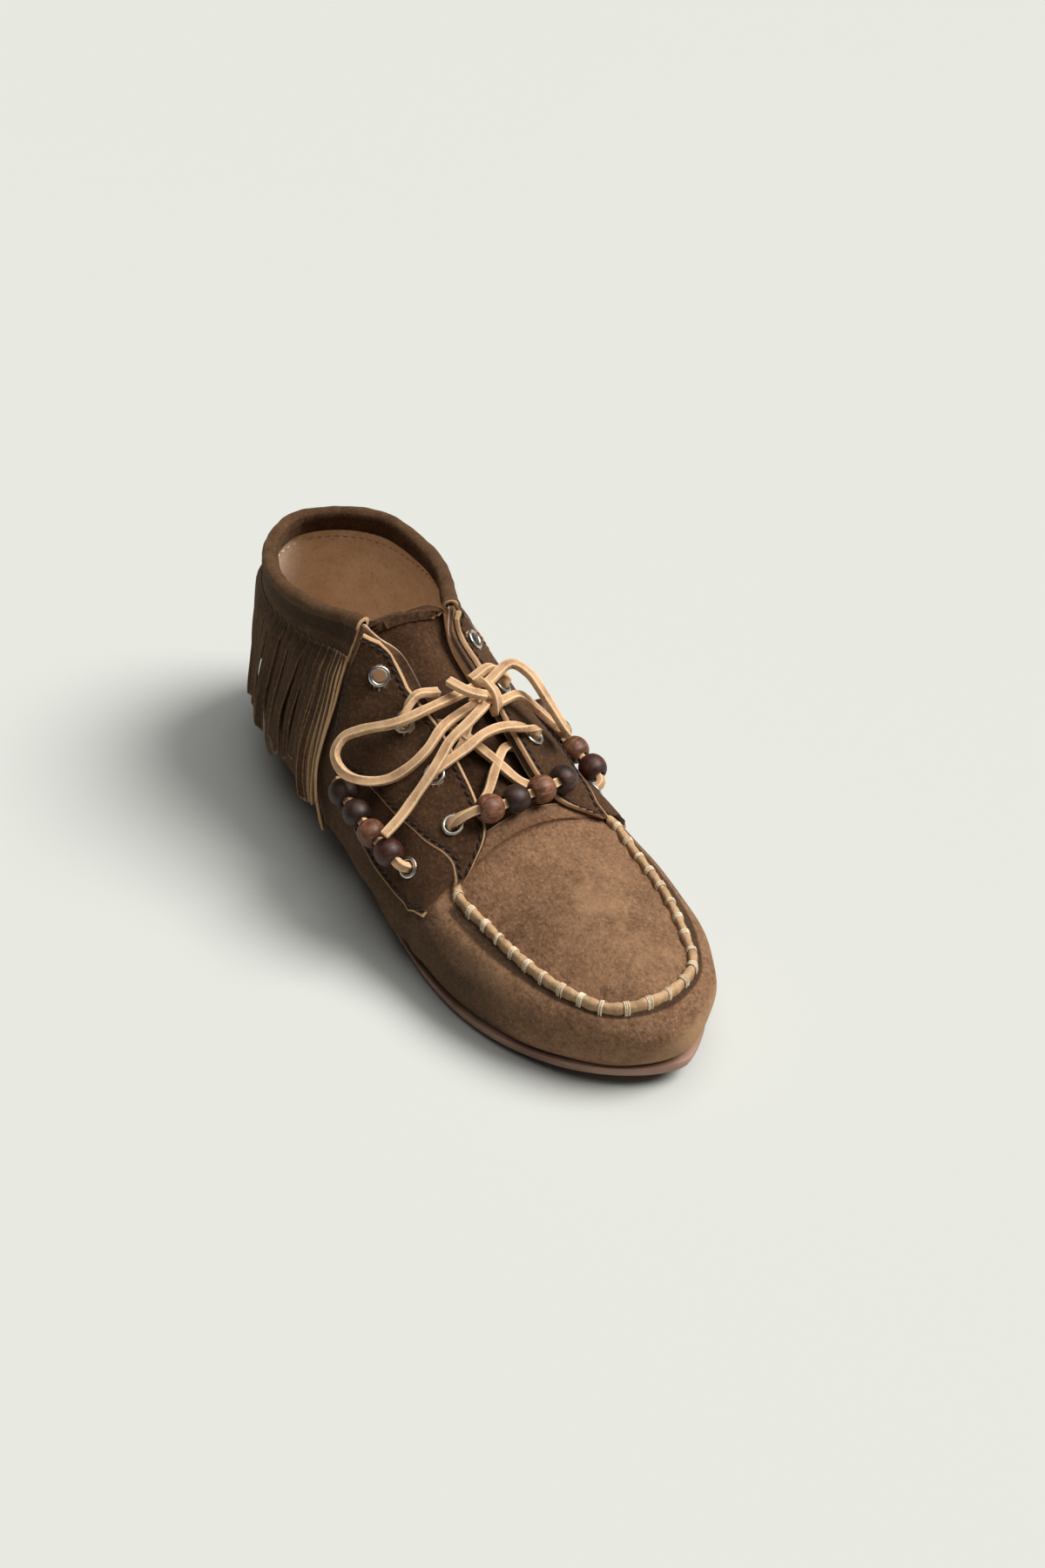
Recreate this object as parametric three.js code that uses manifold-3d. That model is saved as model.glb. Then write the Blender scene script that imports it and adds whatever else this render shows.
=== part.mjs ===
// Fringe boot for the right foot, in millimetres: X runs to the toe, Y to the wearer's left (the inner side of
// the foot), Z up. The origin lies on the floor in the middle of the heel's flat spot.
import * as THREE from "three";
import { mergeVertices } from "three/addons/utils/BufferGeometryUtils.js";
import Module from "manifold-3d";

const wasm = await Module();
wasm.setup();

// Main sizes of the boot.
const LENGTH = 254;
const BALL_WIDTH = 84;
const COLLAR_RISE = 82;
const INSTEP_RISE = 60;
const SEAM_RISE = 25;
const HEEL_THICKNESS = 7;
const FOREFOOT_THICKNESS = 5;
const ARCH_LIFT = 2;
const TOE_SPRING = 6;
const WALL = 2;
const GAP = 0.3;
const SOLE_MARGIN = 1.5;
const INSOLE_THICKNESS = 3;
const INSOLE_CLEAR = 1.9;
const TONGUE_THICKNESS = 1.8;

// Where the sole touches the floor, as shares of its length.
const HEEL_REST = { from: 0.02, to: 0.25 };
const FOREFOOT_REST = { from: 0.5, to: 0.7 };
const ORIGIN_AT = 0.122;

// The sole's outline: half widths to each side of the centre line, as shares of the ball width.
const outlineRows = [
  { at: 0.008, lateral: 0.09, medial: 0.095 },
  { at: 0.031, lateral: 0.175, medial: 0.185 },
  { at: 0.079, lateral: 0.258, medial: 0.27 },
  { at: 0.157, lateral: 0.325, medial: 0.33 },
  { at: 0.26, lateral: 0.358, medial: 0.345 },
  { at: 0.378, lateral: 0.385, medial: 0.324 },
  { at: 0.496, lateral: 0.433, medial: 0.348 },
  { at: 0.594, lateral: 0.482, medial: 0.424 },
  { at: 0.673, lateral: 0.504, medial: 0.483 },
  { at: 0.752, lateral: 0.493, medial: 0.495 },
  { at: 0.831, lateral: 0.433, medial: 0.46 },
  { at: 0.909, lateral: 0.314, medial: 0.371 },
  { at: 0.961, lateral: 0.174, medial: 0.248 },
  { at: 0.992, lateral: 0.033, medial: 0.13 },
];
const TOE_TIP = 0.071;

// The wall of the upper, one row for each section from the heel to the toe. "at" is where the section stands on
// the sole's edge and lean how far its top lies forward of that, as shares of the length. Bulge, low, high and
// top are distances from the centre line (bulge from the sole's edge) as shares of the ball width. Rise is the
// height of the top over the sole, as a share of the height that the table belongs to, and lowAt and highAt are
// shares of that rise.
const collarRows = [
  { at: 0.024, lowAt: 0.39, highAt: 0.72,
    lateral: { lean: 0.039, bulge: 0.03, low: 0.165, high: 0.155, top: 0.143, rise: 0.97 },
    medial: { lean: 0.041, bulge: 0.03, low: 0.18, high: 0.185, top: 0.179, rise: 0.976 } },
  { at: 0.087, lowAt: 0.39, highAt: 0.72,
    lateral: { lean: 0.031, bulge: 0.045, low: 0.28, high: 0.272, top: 0.268, rise: 0.978 },
    medial: { lean: 0.039, bulge: 0.04, low: 0.31, high: 0.315, top: 0.315, rise: 0.99 } },
  { at: 0.165, lowAt: 0.39, highAt: 0.72,
    lateral: { lean: 0.035, bulge: 0.09, low: 0.393, high: 0.357, top: 0.339, rise: 1.009 },
    medial: { lean: 0.054, bulge: 0.05, low: 0.405, high: 0.381, top: 0.339, rise: 1.0 } },
  { at: 0.26, lowAt: 0.39, highAt: 0.72,
    lateral: { lean: 0.031, bulge: 0.1, low: 0.44, high: 0.369, top: 0.315, rise: 1.043 },
    medial: { lean: 0.039, bulge: 0.05, low: 0.405, high: 0.357, top: 0.292, rise: 1.024 } },
  { at: 0.339, lowAt: 0.39, highAt: 0.72,
    lateral: { lean: 0.012, bulge: 0.105, low: 0.458, high: 0.351, top: 0.262, rise: 1.089 },
    medial: { lean: 0.023, bulge: 0.055, low: 0.393, high: 0.321, top: 0.208, rise: 1.046 } },
  { at: 0.37, lowAt: 0.4, highAt: 0.72,
    lateral: { lean: 0.012, bulge: 0.105, low: 0.464, high: 0.345, top: 0.244, rise: 1.104 },
    medial: { lean: 0.019, bulge: 0.055, low: 0.393, high: 0.31, top: 0.167, rise: 1.061 } },
  { at: 0.39, lowAt: 0.41, highAt: 0.74,
    lateral: { lean: 0.006, bulge: 0.105, low: 0.47, high: 0.339, top: 0.196, rise: 1.049 },
    medial: { lean: 0.006, bulge: 0.055, low: 0.393, high: 0.31, top: 0.152, rise: 1.018 } },
];
const throatRows = [
  { at: 0.413, lowAt: 0.42, highAt: 0.76,
    lateral: { lean: -0.004, bulge: 0.1, low: 0.448, high: 0.333, top: 0.125, rise: 1.337 },
    medial: { lean: -0.004, bulge: 0.055, low: 0.393, high: 0.304, top: 0.131, rise: 1.337 } },
  { at: 0.472, lowAt: 0.45, highAt: 0.78,
    lateral: { lean: 0, bulge: 0.095, low: 0.46, high: 0.339, top: 0.119, rise: 1.173 },
    medial: { lean: 0, bulge: 0.055, low: 0.399, high: 0.321, top: 0.137, rise: 1.173 } },
  { at: 0.547, lowAt: 0.46, highAt: 0.79,
    lateral: { lean: 0, bulge: 0.085, low: 0.482, high: 0.357, top: 0.119, rise: 0.995 },
    medial: { lean: 0, bulge: 0.05, low: 0.429, high: 0.351, top: 0.143, rise: 0.987 } },
  { at: 0.598, lowAt: 0.49, highAt: 0.8,
    lateral: { lean: 0.004, bulge: 0.07, low: 0.496, high: 0.363, top: 0.125, rise: 0.838 },
    medial: { lean: 0.004, bulge: 0.05, low: 0.452, high: 0.375, top: 0.155, rise: 0.83 } },
  { at: 0.626, lowAt: 0.51, highAt: 0.82,
    lateral: { lean: 0.014, bulge: 0.06, low: 0.502, high: 0.375, top: 0.155, rise: 0.745 },
    medial: { lean: 0.014, bulge: 0.045, low: 0.47, high: 0.405, top: 0.19, rise: 0.735 } },
  { at: 0.644, lowAt: 0.57, highAt: 0.86,
    lateral: { lean: 0.012, bulge: 0.05, low: 0.502, high: 0.405, top: 0.25, rise: 0.61 },
    medial: { lean: 0.012, bulge: 0.045, low: 0.482, high: 0.44, top: 0.31, rise: 0.61 } },
];
const toeRows = [
  { at: 0.661, lowAt: 0.68, highAt: 0.92,
    lateral: { lean: 0, bulge: 0.038, low: 0.506, high: 0.429, top: 0.333, rise: 1.16 },
    medial: { lean: 0, bulge: 0.045, low: 0.494, high: 0.464, top: 0.41, rise: 1.22 } },
  { at: 0.732, lowAt: 0.65, highAt: 0.88,
    lateral: { lean: 0, bulge: 0.024, low: 0.488, high: 0.417, top: 0.321, rise: 1.016 },
    medial: { lean: 0, bulge: 0.042, low: 0.506, high: 0.476, top: 0.399, rise: 1.12 } },
  { at: 0.827, lowAt: 0.66, highAt: 0.89,
    lateral: { lean: -0.004, bulge: 0.024, low: 0.423, high: 0.369, top: 0.298, rise: 0.96 },
    medial: { lean: -0.014, bulge: 0.042, low: 0.47, high: 0.44, top: 0.369, rise: 1.02 } },
  { at: 0.898, lowAt: 0.68, highAt: 0.9,
    lateral: { lean: -0.012, bulge: 0.024, low: 0.333, high: 0.298, top: 0.25, rise: 0.9 },
    medial: { lean: -0.019, bulge: 0.042, low: 0.405, high: 0.375, top: 0.31, rise: 0.92 } },
  { at: 0.961, lowAt: 0.69, highAt: 0.9,
    lateral: { lean: -0.021, bulge: 0.024, low: 0.179, high: 0.173, top: 0.155, rise: 0.84 },
    medial: { lean: -0.029, bulge: 0.036, low: 0.274, high: 0.256, top: 0.232, rise: 0.84 } },
];
// The two sections on the centre line, at the back of the heel and at the tip of the toe.
const heelRow = { at: 0.006, lean: 0.033, side: 0.006, bulge: 0.03, lowAt: 0.39, highAt: 0.72, rise: 0.963 };
const toeRow = { at: 0.992, lean: -0.035, side: 0.045, bulge: 0.036, lowAt: 0.69, highAt: 0.9, rise: 0.82 };
const BULGE_AT = 0.42;
const LOW_LEAN = -0.15;
const HIGH_LEAN = 0.4;

// Mesh and solid helpers.
function solidFrom(geometry) {
  const plain = geometry.index ? geometry.toNonIndexed() : geometry.clone();
  plain.deleteAttribute("normal");
  plain.deleteAttribute("uv");
  const merged = mergeVertices(plain, 1e-4);
  return new wasm.Manifold(new wasm.Mesh({
    numProp: 3,
    vertProperties: merged.attributes.position.array,
    triVerts: new Uint32Array(merged.index.array),
  }));
}

function geometryFrom(solid) {
  const mesh = solid.getMesh();
  const geometry = new THREE.BufferGeometry();
  geometry.setAttribute("position", new THREE.BufferAttribute(mesh.vertProperties, 3));
  geometry.setIndex(new THREE.BufferAttribute(mesh.triVerts, 1));
  geometry.computeVertexNormals();
  return geometry;
}

// A closed geometry through rows of points, each row a closed loop with the same number of points. Ends are
// capped, or the last row joins the first.
function loft(rows, { ring = false } = {}) {
  const count = rows[0].length;
  const points = rows.flat();
  const faces = [];
  const last = ring ? rows.length : rows.length - 1;
  for (let row = 0; row < last; row += 1) {
    const next = (row + 1) % rows.length;
    for (let i = 0; i < count; i += 1) {
      const j = (i + 1) % count;
      faces.push(row * count + i, row * count + j, next * count + j);
      faces.push(row * count + i, next * count + j, next * count + i);
    }
  }
  if (!ring) {
    const start = rows[0].map((_, i) => i);
    const end = rows[0].map((_, i) => (rows.length - 1) * count + i);
    faces.push(...capFaces(points, start).reverse());
    faces.push(...capFaces(points, end));
  }
  const geometry = new THREE.BufferGeometry();
  geometry.setAttribute("position", new THREE.Float32BufferAttribute(points.flatMap((p) => p.toArray()), 3));
  geometry.setIndex(faces);
  return outward(geometry);
}

// Triangles that close a loop of points, worked out on the loop's own best plane.
function capFaces(points, loop) {
  const normal = new THREE.Vector3();
  loop.forEach((index, i) => {
    const a = points[index];
    const b = points[loop[(i + 1) % loop.length]];
    normal.add(new THREE.Vector3().crossVectors(a, b));
  });
  const turn = new THREE.Quaternion().setFromUnitVectors(normal.normalize(), new THREE.Vector3(0, 0, 1));
  const flat = loop.map((index) => {
    const p = points[index].clone().applyQuaternion(turn);
    return new THREE.Vector2(p.x, p.y);
  });
  return THREE.ShapeUtils.triangulateShape(flat, []).flatMap((face) => face.map((i) => loop[i]));
}

// Turns all faces round if the closed geometry is inside out.
function outward(geometry) {
  const position = geometry.attributes.position;
  const index = geometry.index.array;
  let volume = 0;
  const [a, b, c] = [new THREE.Vector3(), new THREE.Vector3(), new THREE.Vector3()];
  for (let i = 0; i < index.length; i += 3) {
    a.fromBufferAttribute(position, index[i]);
    b.fromBufferAttribute(position, index[i + 1]);
    c.fromBufferAttribute(position, index[i + 2]);
    volume += a.dot(b.cross(c));
  }
  if (volume < 0) {
    const turned = Array.from(index).reverse();
    geometry.setIndex(turned);
  }
  return geometry;
}

// A patch between two grids of points with the same rows and columns, closed round its edge.
function slab(outer, inner) {
  const columns = outer[0].length;
  const rows = outer.length;
  const around = [];
  for (let i = 0; i < columns; i += 1) around.push([0, i]);
  for (let i = 1; i < rows; i += 1) around.push([i, columns - 1]);
  for (let i = columns - 2; i >= 0; i -= 1) around.push([rows - 1, i]);
  for (let i = rows - 2; i >= 1; i -= 1) around.push([i, 0]);
  const points = [...outer.flat(), ...inner.flat()];
  const back = rows * columns;
  const faces = [];
  for (let r = 0; r < rows - 1; r += 1) {
    for (let c = 0; c < columns - 1; c += 1) {
      const a = r * columns + c;
      const [b, d, e] = [a + 1, a + columns + 1, a + columns];
      faces.push(a, b, d, a, d, e);
      faces.push(back + a, back + d, back + b, back + a, back + e, back + d);
    }
  }
  around.forEach(([row, column], i) => {
    const [nextRow, nextColumn] = around[(i + 1) % around.length];
    const a = row * columns + column;
    const b = nextRow * columns + nextColumn;
    faces.push(b, a, back + a, b, back + a, back + b);
  });
  const geometry = new THREE.BufferGeometry();
  geometry.setAttribute("position", new THREE.Float32BufferAttribute(points.flatMap((p) => p.toArray()), 3));
  geometry.setIndex(faces);
  return outward(geometry);
}

const smooth = (t) => t * t * (3 - 2 * t);
const ramp = (x, from, to) => smooth(THREE.MathUtils.clamp((x - from) / (to - from), 0, 1));
const between = (a, b, t) => a + (b - a) * t;

// Sole heights along the length: underside and top face.
function soleBottom(x) {
  const share = x / LENGTH;
  const spring = Math.max(0, (share - FOREFOOT_REST.to) / (1 - FOREFOOT_REST.to));
  const arch = ramp(share, HEEL_REST.to, 0.38) * (1 - ramp(share, 0.38, FOREFOOT_REST.from));
  return TOE_SPRING * spring ** 2 + ARCH_LIFT * arch;
}

function soleTop(x) {
  const share = x / LENGTH;
  const spring = Math.max(0, (share - FOREFOOT_REST.to) / (1 - FOREFOOT_REST.to));
  return TOE_SPRING * spring ** 2 + between(HEEL_THICKNESS, FOREFOOT_THICKNESS, ramp(share, HEEL_REST.to, 0.6));
}

// Half width of the sole at x on one side.
function soleEdge(x, side) {
  const rows = [{ at: 0, [side]: 0 }, ...outlineRows, { at: 1, [side]: side === "medial" ? TOE_TIP : -TOE_TIP }];
  const share = THREE.MathUtils.clamp(x / LENGTH, 0, 1);
  const next = Math.max(1, rows.findIndex((row) => row.at >= share));
  const [a, b] = [rows[next - 1], rows[next]];
  return BALL_WIDTH * between(a[side], b[side], (share - a.at) / (b.at - a.at));
}

// The sole's outline as a closed curve in plan, moved in by an inset.
function outlineCurve(inset) {
  const lateral = outlineRows.map((row) => new THREE.Vector3(row.at * LENGTH, -row.lateral * BALL_WIDTH, 0));
  const medial = outlineRows.map((row) => new THREE.Vector3(row.at * LENGTH, row.medial * BALL_WIDTH, 0));
  const tip = new THREE.Vector3(LENGTH, TOE_TIP * BALL_WIDTH, 0);
  const points = [new THREE.Vector3(0, 0, 0), ...lateral, tip, ...medial.reverse()];
  const moved = points.map((p, i) => {
    const before = points[(i + points.length - 1) % points.length];
    const after = points[(i + 1) % points.length];
    const along = after.clone().sub(before).normalize();
    return p.clone().add(new THREE.Vector3(-along.y, along.x, 0).multiplyScalar(inset));
  });
  return new THREE.CatmullRomCurve3(moved, true, "centripetal");
}

// The five guide points of one section of the wall.
function sectionGuides(row, side, height) {
  const sign = side === "lateral" ? -1 : 1;
  const shape = row[side];
  const x = row.at * LENGTH;
  const floor = soleTop(x) + GAP;
  const rise = shape.rise * height;
  const lean = shape.lean * LENGTH;
  const foot = soleEdge(x, side) - SOLE_MARGIN;
  const point = (dx, out, up) => new THREE.Vector3(x + dx, sign * out, floor + up);
  return [
    point(0, foot, 0),
    point(LOW_LEAN * lean, foot + shape.bulge * BALL_WIDTH, BULGE_AT * row.lowAt * rise),
    point(LOW_LEAN * lean, shape.low * BALL_WIDTH, row.lowAt * rise),
    point(HIGH_LEAN * lean, shape.high * BALL_WIDTH, row.highAt * rise),
    point(lean, shape.top * BALL_WIDTH, rise),
  ];
}

// The guide points of a section on the centre line, where the bulge points along the boot.
function centreGuides(row, height, forward) {
  const x = row.at * LENGTH;
  const floor = soleTop(x) + GAP;
  const rise = row.rise * height;
  const lean = row.lean * LENGTH;
  const bulge = forward * row.bulge * BALL_WIDTH;
  const y = row.side * BALL_WIDTH;
  const point = (dx, up) => new THREE.Vector3(x + dx, y, floor + up);
  return [
    point(-forward * SOLE_MARGIN * 0.5, 0),
    point(bulge, BULGE_AT * row.lowAt * rise),
    point(bulge * 0.8, row.lowAt * rise),
    point(HIGH_LEAN * lean, row.highAt * rise),
    point(lean, rise),
  ];
}

function wallGuideRings() {
  const sections = (side) => [
    ...collarRows.map((row) => sectionGuides(row, side, COLLAR_RISE)),
    ...throatRows.map((row) => sectionGuides(row, side, INSTEP_RISE)),
    ...toeRows.map((row) => sectionGuides(row, side, SEAM_RISE)),
  ];
  const all = [
    centreGuides(heelRow, COLLAR_RISE, -1),
    ...sections("lateral"),
    centreGuides(toeRow, SEAM_RISE, 1),
    ...sections("medial").reverse(),
  ];
  return [0, 1, 2, 3, 4].map(
    (guide) => new THREE.CatmullRomCurve3(all.map((section) => section[guide]), true, "centripetal"),
  );
}

const wallRings = wallGuideRings();
const SECTIONS = collarRows.length + throatRows.length + toeRows.length + 1;

// A section number runs from 0 at the heel to SECTIONS at the toe, and its side is lateral or medial.
const ringShare = (section, side) => (side === "lateral" ? section : 2 * SECTIONS - section) / (2 * SECTIONS);

function wallPoint(u, v) {
  const share = ((u % 1) + 1) % 1;
  const guides = wallRings.map((ring) => ring.getPoint(share));
  return new THREE.CatmullRomCurve3(guides, false, "centripetal").getPoint(THREE.MathUtils.clamp(v, 0, 1));
}

// The outside of the wall at u round the boot and v up it, moved out by a distance.
function wall(u, v, out = 0) {
  const here = wallPoint(u, v);
  if (out === 0) return here;
  const step = 0.004;
  const along = wallPoint(u + step, v).sub(wallPoint(u - step, v));
  const [low, high] = [Math.max(0, v - 4 * step), Math.min(1, v + 4 * step)];
  const up = wallPoint(u, high).sub(wallPoint(u, low));
  return here.addScaledVector(along.cross(up).normalize(), out);
}

// Section numbers from one to another in steps of about the given length.
function sectionSteps(from, to, length) {
  const steps = [];
  for (let start = from; start < to; start = Math.floor(start + 1)) {
    const end = Math.min(to, Math.floor(start + 1));
    const a = wallPoint(ringShare(start, "lateral"), 0.6);
    const b = wallPoint(ringShare(end, "lateral"), 0.6);
    const count = Math.max(1, Math.round(a.distanceTo(b) / length));
    for (let i = 0; i < count; i += 1) steps.push(between(start, end, i / count));
  }
  return [...steps, to];
}

const WALL_LEVELS = [0, 0.12, 0.24, 0.38, 0.52, 0.66, 0.78, 0.9, 1];
const LINING_LEVELS = [0, 0.12, 0.24, 0.42, 0.6, 0.8, 1];
const WALL_STEP = 13;

function upperWall() {
  const lateral = sectionSteps(0, SECTIONS, WALL_STEP).map((section) => ringShare(section, "lateral"));
  const medial = sectionSteps(0, SECTIONS, WALL_STEP).map((section) => ringShare(section, "medial"));
  const shares = [...lateral, ...medial.reverse().slice(1, -1)];
  const rows = shares.map((u) => [
    ...WALL_LEVELS.map((v) => wall(u, v)),
    ...LINING_LEVELS.map((v) => wall(u, v, -WALL)).reverse(),
  ]);
  return solidFrom(loft(rows, { ring: true }));
}

// The surface that spans the boot between the two tops of a section, raised in the middle by a crown.
function across(section, t, crown, out = 0) {
  const point = (s, share) => {
    const a = wall(ringShare(s, "lateral"), 1, -WALL / 2);
    const b = wall(ringShare(s, "medial"), 1, -WALL / 2);
    const p = a.lerp(b, share);
    p.z += crown(s) * 4 * share * (1 - share);
    return p;
  };
  const here = point(section, t);
  if (out === 0) return here;
  const step = 0.02;
  const along = point(section + step, t).sub(point(section - step, t));
  const side = point(section, Math.min(1, t + step)).sub(point(section, Math.max(0, t - step)));
  return here.addScaledVector(along.cross(side).normalize(), out);
}

const THROAT_FOOT = collarRows.length + 5;
const SEAM_START = collarRows.length + throatRows.length + 1;
const PLUG_CROWN = 10;
const THROAT_CROWN = 3;

// Crown of the plug: high behind the toe, low at the throat and at the tip.
function plugCrown(section) {
  const front = (SECTIONS - section) / (SECTIONS - SEAM_START);
  return section > SEAM_START
    ? PLUG_CROWN * Math.sqrt(Math.max(0, front)) + 0.5
    : between(THROAT_CROWN, PLUG_CROWN, Math.max(0, section - THROAT_FOOT) / (SEAM_START - THROAT_FOOT));
}

function upperPlug() {
  const steps = sectionSteps(THROAT_FOOT, SECTIONS - 0.12, WALL_STEP);
  const columns = [0, 0.18, 0.38, 0.62, 0.82, 1];
  const grid = (out) => steps.map((section) => columns.map((t) => across(section, t, plugCrown, out)));
  return solidFrom(slab(grid(WALL / 2 - 0.2), grid(-WALL / 2 - 0.2)));
}

// The raised lip of the seam round the toe, a rounded ridge on the wall's top line.
const RIDGE_WIDTH = 3.6;
const RIDGE_HEIGHT = 3.2;
const RIDGE_PROFILE = [
  { out: -0.5, up: -0.9 },
  { out: 0.5, up: -0.9 },
  { out: 0.5, up: 0.35 },
  { out: 0.28, up: 0.85 },
  { out: -0.28, up: 0.85 },
  { out: -0.5, up: 0.35 },
];
const RIDGE_STEP = 7;

function seamRidge() {
  const steps = sectionSteps(SEAM_START, SECTIONS, RIDGE_STEP);
  const shares = [
    ...steps.map((section) => ringShare(section, "lateral")),
    ...steps.slice(0, -1).reverse().map((section) => ringShare(section, "medial")),
  ];
  const rows = shares.map((u) => {
    const centre = wallPoint(u, 1);
    const along = wallPoint(u + 0.003, 1).sub(wallPoint(u - 0.003, 1)).normalize();
    const out = new THREE.Vector3(along.y, -along.x, 0).normalize();
    return RIDGE_PROFILE.map((corner) => centre.clone()
      .addScaledVector(out, corner.out * RIDGE_WIDTH)
      .add(new THREE.Vector3(0, 0, corner.up * RIDGE_HEIGHT)));
  });
  return solidFrom(loft(rows));
}

// Lace holes: section number and place up the wall, the same on both sides.
const EYELET_HOLE = 5.8;
const EYELET_OUTER = 7.6;
const EYELET_INNER = 4.9;
const EYELET_RIM = 0.7;
const ROUND_SIDES = 8;
const HOLE_DEPTH = 12;
const RIM_SPAN = { section: 0.5, up: 0.1 };
const OVERLAY = 1.3;
const SEAT = 0.62;
const laceHoles = [
  { name: "1", section: 7.83, up: 0.9 },
  { name: "2", section: 9.02, up: 0.895 },
  { name: "3", section: 10.02, up: 0.9 },
  { name: "4", section: 11.24, up: 0.88 },
];
const sideHole = { name: "side", section: 11.2, up: 0.637 };
const SIDES = ["lateral", "medial"];

// A place on the wall: its point, the wall's outward direction and a quaternion that turns Z to it.
function seat(section, side, v, out = 0) {
  const u = ringShare(section, side);
  const base = wall(u, v, 0);
  const normal = wall(u, v, 1).sub(base).normalize();
  const turn = new THREE.Quaternion().setFromUnitVectors(new THREE.Vector3(0, 0, 1), normal);
  return { point: base.addScaledVector(normal, out), normal, turn };
}

// How far off the wall an eyelet's rim sits: the overlay's top face is read round the hole, and the rim clears the
// highest place.
function rimHeight(hole, side, thickness) {
  const { point, normal } = seat(hole.section, side, hole.up);
  const top = SEAT + thickness;
  const reach = [-1, -0.5, 0, 0.5, 1];
  const heights = reach.flatMap((ahead) => reach.map((above) => {
    const u = ringShare(hole.section + ahead * RIM_SPAN.section, side);
    const near = wall(u, hole.up + above * RIM_SPAN.up, top).sub(point);
    const height = near.dot(normal);
    const sideways = near.addScaledVector(normal, -height).length();
    return sideways < EYELET_OUTER / 2 + GAP ? height : top;
  }));
  return Math.max(...heights) + 2 * GAP;
}

function holeCutter(hole, side) {
  const { point, turn } = seat(hole.section, side, hole.up);
  const cutter = new THREE.CylinderGeometry(EYELET_HOLE / 2, EYELET_HOLE / 2, HOLE_DEPTH, ROUND_SIDES);
  cutter.rotateX(Math.PI / 2);
  cutter.applyQuaternion(turn);
  cutter.translate(point.x, point.y, point.z);
  return solidFrom(cutter);
}

const allHoles = [...laceHoles, sideHole];

function upper() {
  let solid = upperWall().add(upperPlug()).add(seamRidge());
  for (const side of SIDES) {
    for (const hole of allHoles) solid = solid.subtract(holeCutter(hole, side));
  }
  return solid;
}

// A flat band of faces between the two sides of a ring whose points pair up across the centre line.
function pairedCap(offset, count, turned) {
  const faces = [];
  for (let i = 0; i < count / 2; i += 1) {
    const [a, b] = [offset + i, offset + i + 1];
    const [c, d] = [offset + ((count - i - 1) % count), offset + ((count - i) % count)];
    if (b !== c) faces.push(turned ? [a, c, b] : [a, b, c]);
    if (a !== d) faces.push(turned ? [a, d, c] : [a, c, d]);
  }
  return faces.flat();
}

// A plate made of rings in plan, each ring a moved-in copy of the sole's outline at its own height.
function plate(levels) {
  const count = 4 * (outlineRows.length + 1);
  const rings = levels.map(({ inset, height }) => {
    const curve = outlineCurve(inset);
    return Array.from({ length: count }, (_, i) => {
      const p = curve.getPoint(i / count);
      return new THREE.Vector3(p.x, p.y, height(THREE.MathUtils.clamp(p.x, 0, LENGTH)));
    });
  });
  const faces = [...pairedCap(0, count, false), ...pairedCap((rings.length - 1) * count, count, true)];
  for (let r = 0; r < rings.length - 1; r += 1) {
    for (let i = 0; i < count; i += 1) {
      const [a, b] = [r * count + i, r * count + ((i + 1) % count)];
      faces.push(a, b + count, b, a, a + count, b + count);
    }
  }
  const geometry = new THREE.BufferGeometry();
  const points = rings.flat().flatMap((p) => p.toArray());
  geometry.setAttribute("position", new THREE.Float32BufferAttribute(points, 3));
  geometry.setIndex(faces);
  return outward(geometry);
}

const soleAt = (share) => (x) => between(soleBottom(x), soleTop(x), share);

function outsole() {
  return plate([
    { inset: 2.2, height: soleAt(0) },
    { inset: 0.7, height: soleAt(0.25) },
    { inset: 0, height: soleAt(0.6) },
    { inset: 0.3, height: soleAt(1) },
  ]);
}

function insole() {
  const inset = SOLE_MARGIN + WALL + INSOLE_CLEAR;
  const bottom = (x) => soleTop(x) + GAP;
  return plate([
    { inset, height: bottom },
    { inset: inset - GAP, height: (x) => bottom(x) + INSOLE_THICKNESS },
  ]);
}

// The tongue: how wide it is at each section, as shares of the way from the tuck under the outer facing to the
// tuck under the inner one. It starts under the plug and ends free in the collar.
const tongueRows = [
  { section: 5.35, from: 0.44, to: 0.54 },
  { section: 5.5, from: 0.41, to: 0.57 },
  { section: 6, from: 0.39, to: 0.6 },
  { section: 7, from: 0.36, to: 0.62 },
  { section: 8, from: 0.25, to: 0.66 },
  { section: 8.5, from: 0.08, to: 0.74 },
  { section: 9, from: 0.04, to: 0.86 },
  { section: 9.5, from: 0, to: 0.95 },
  { section: 10, from: 0, to: 1 },
  { section: 11, from: 0, to: 1 },
  { section: 11.7, from: 0.05, to: 0.95 },
  { section: 12.3, from: 0.1, to: 0.9 },
  { section: 12.8, from: 0.16, to: 0.84 },
];
const TUCK_AT = 0.86;
const TONGUE_DEPTH = 4.2;
const TONGUE_COLUMNS = 10;

function tonguePoint(section, t) {
  const depth = WALL + TONGUE_DEPTH;
  const drop = WALL / 2 + TONGUE_DEPTH;
  const guides = [
    wall(ringShare(section, "lateral"), TUCK_AT, -depth),
    across(section, 0.06, plugCrown, -drop),
    across(section, 0.5, plugCrown, -drop + 0.8),
    across(section, 0.94, plugCrown, -drop),
    wall(ringShare(section, "medial"), TUCK_AT, -depth),
  ];
  return new THREE.CatmullRomCurve3(guides, false, "centripetal").getPoint(t);
}

function tongueAt(section, t, out) {
  const step = 0.03;
  const here = tonguePoint(section, t);
  const along = tonguePoint(section + step, t).sub(tonguePoint(section - step, t));
  const side = tonguePoint(section, Math.min(1, t + step)).sub(tonguePoint(section, Math.max(0, t - step)));
  return here.addScaledVector(along.cross(side).normalize(), out);
}

function tongue() {
  const grid = (out) => tongueRows.map((row) => Array.from({ length: TONGUE_COLUMNS + 1 }, (_, i) =>
    tongueAt(row.section, between(row.from, row.to, i / TONGUE_COLUMNS), out)));
  return slab(grid(0), grid(-TONGUE_THICKNESS));
}

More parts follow.
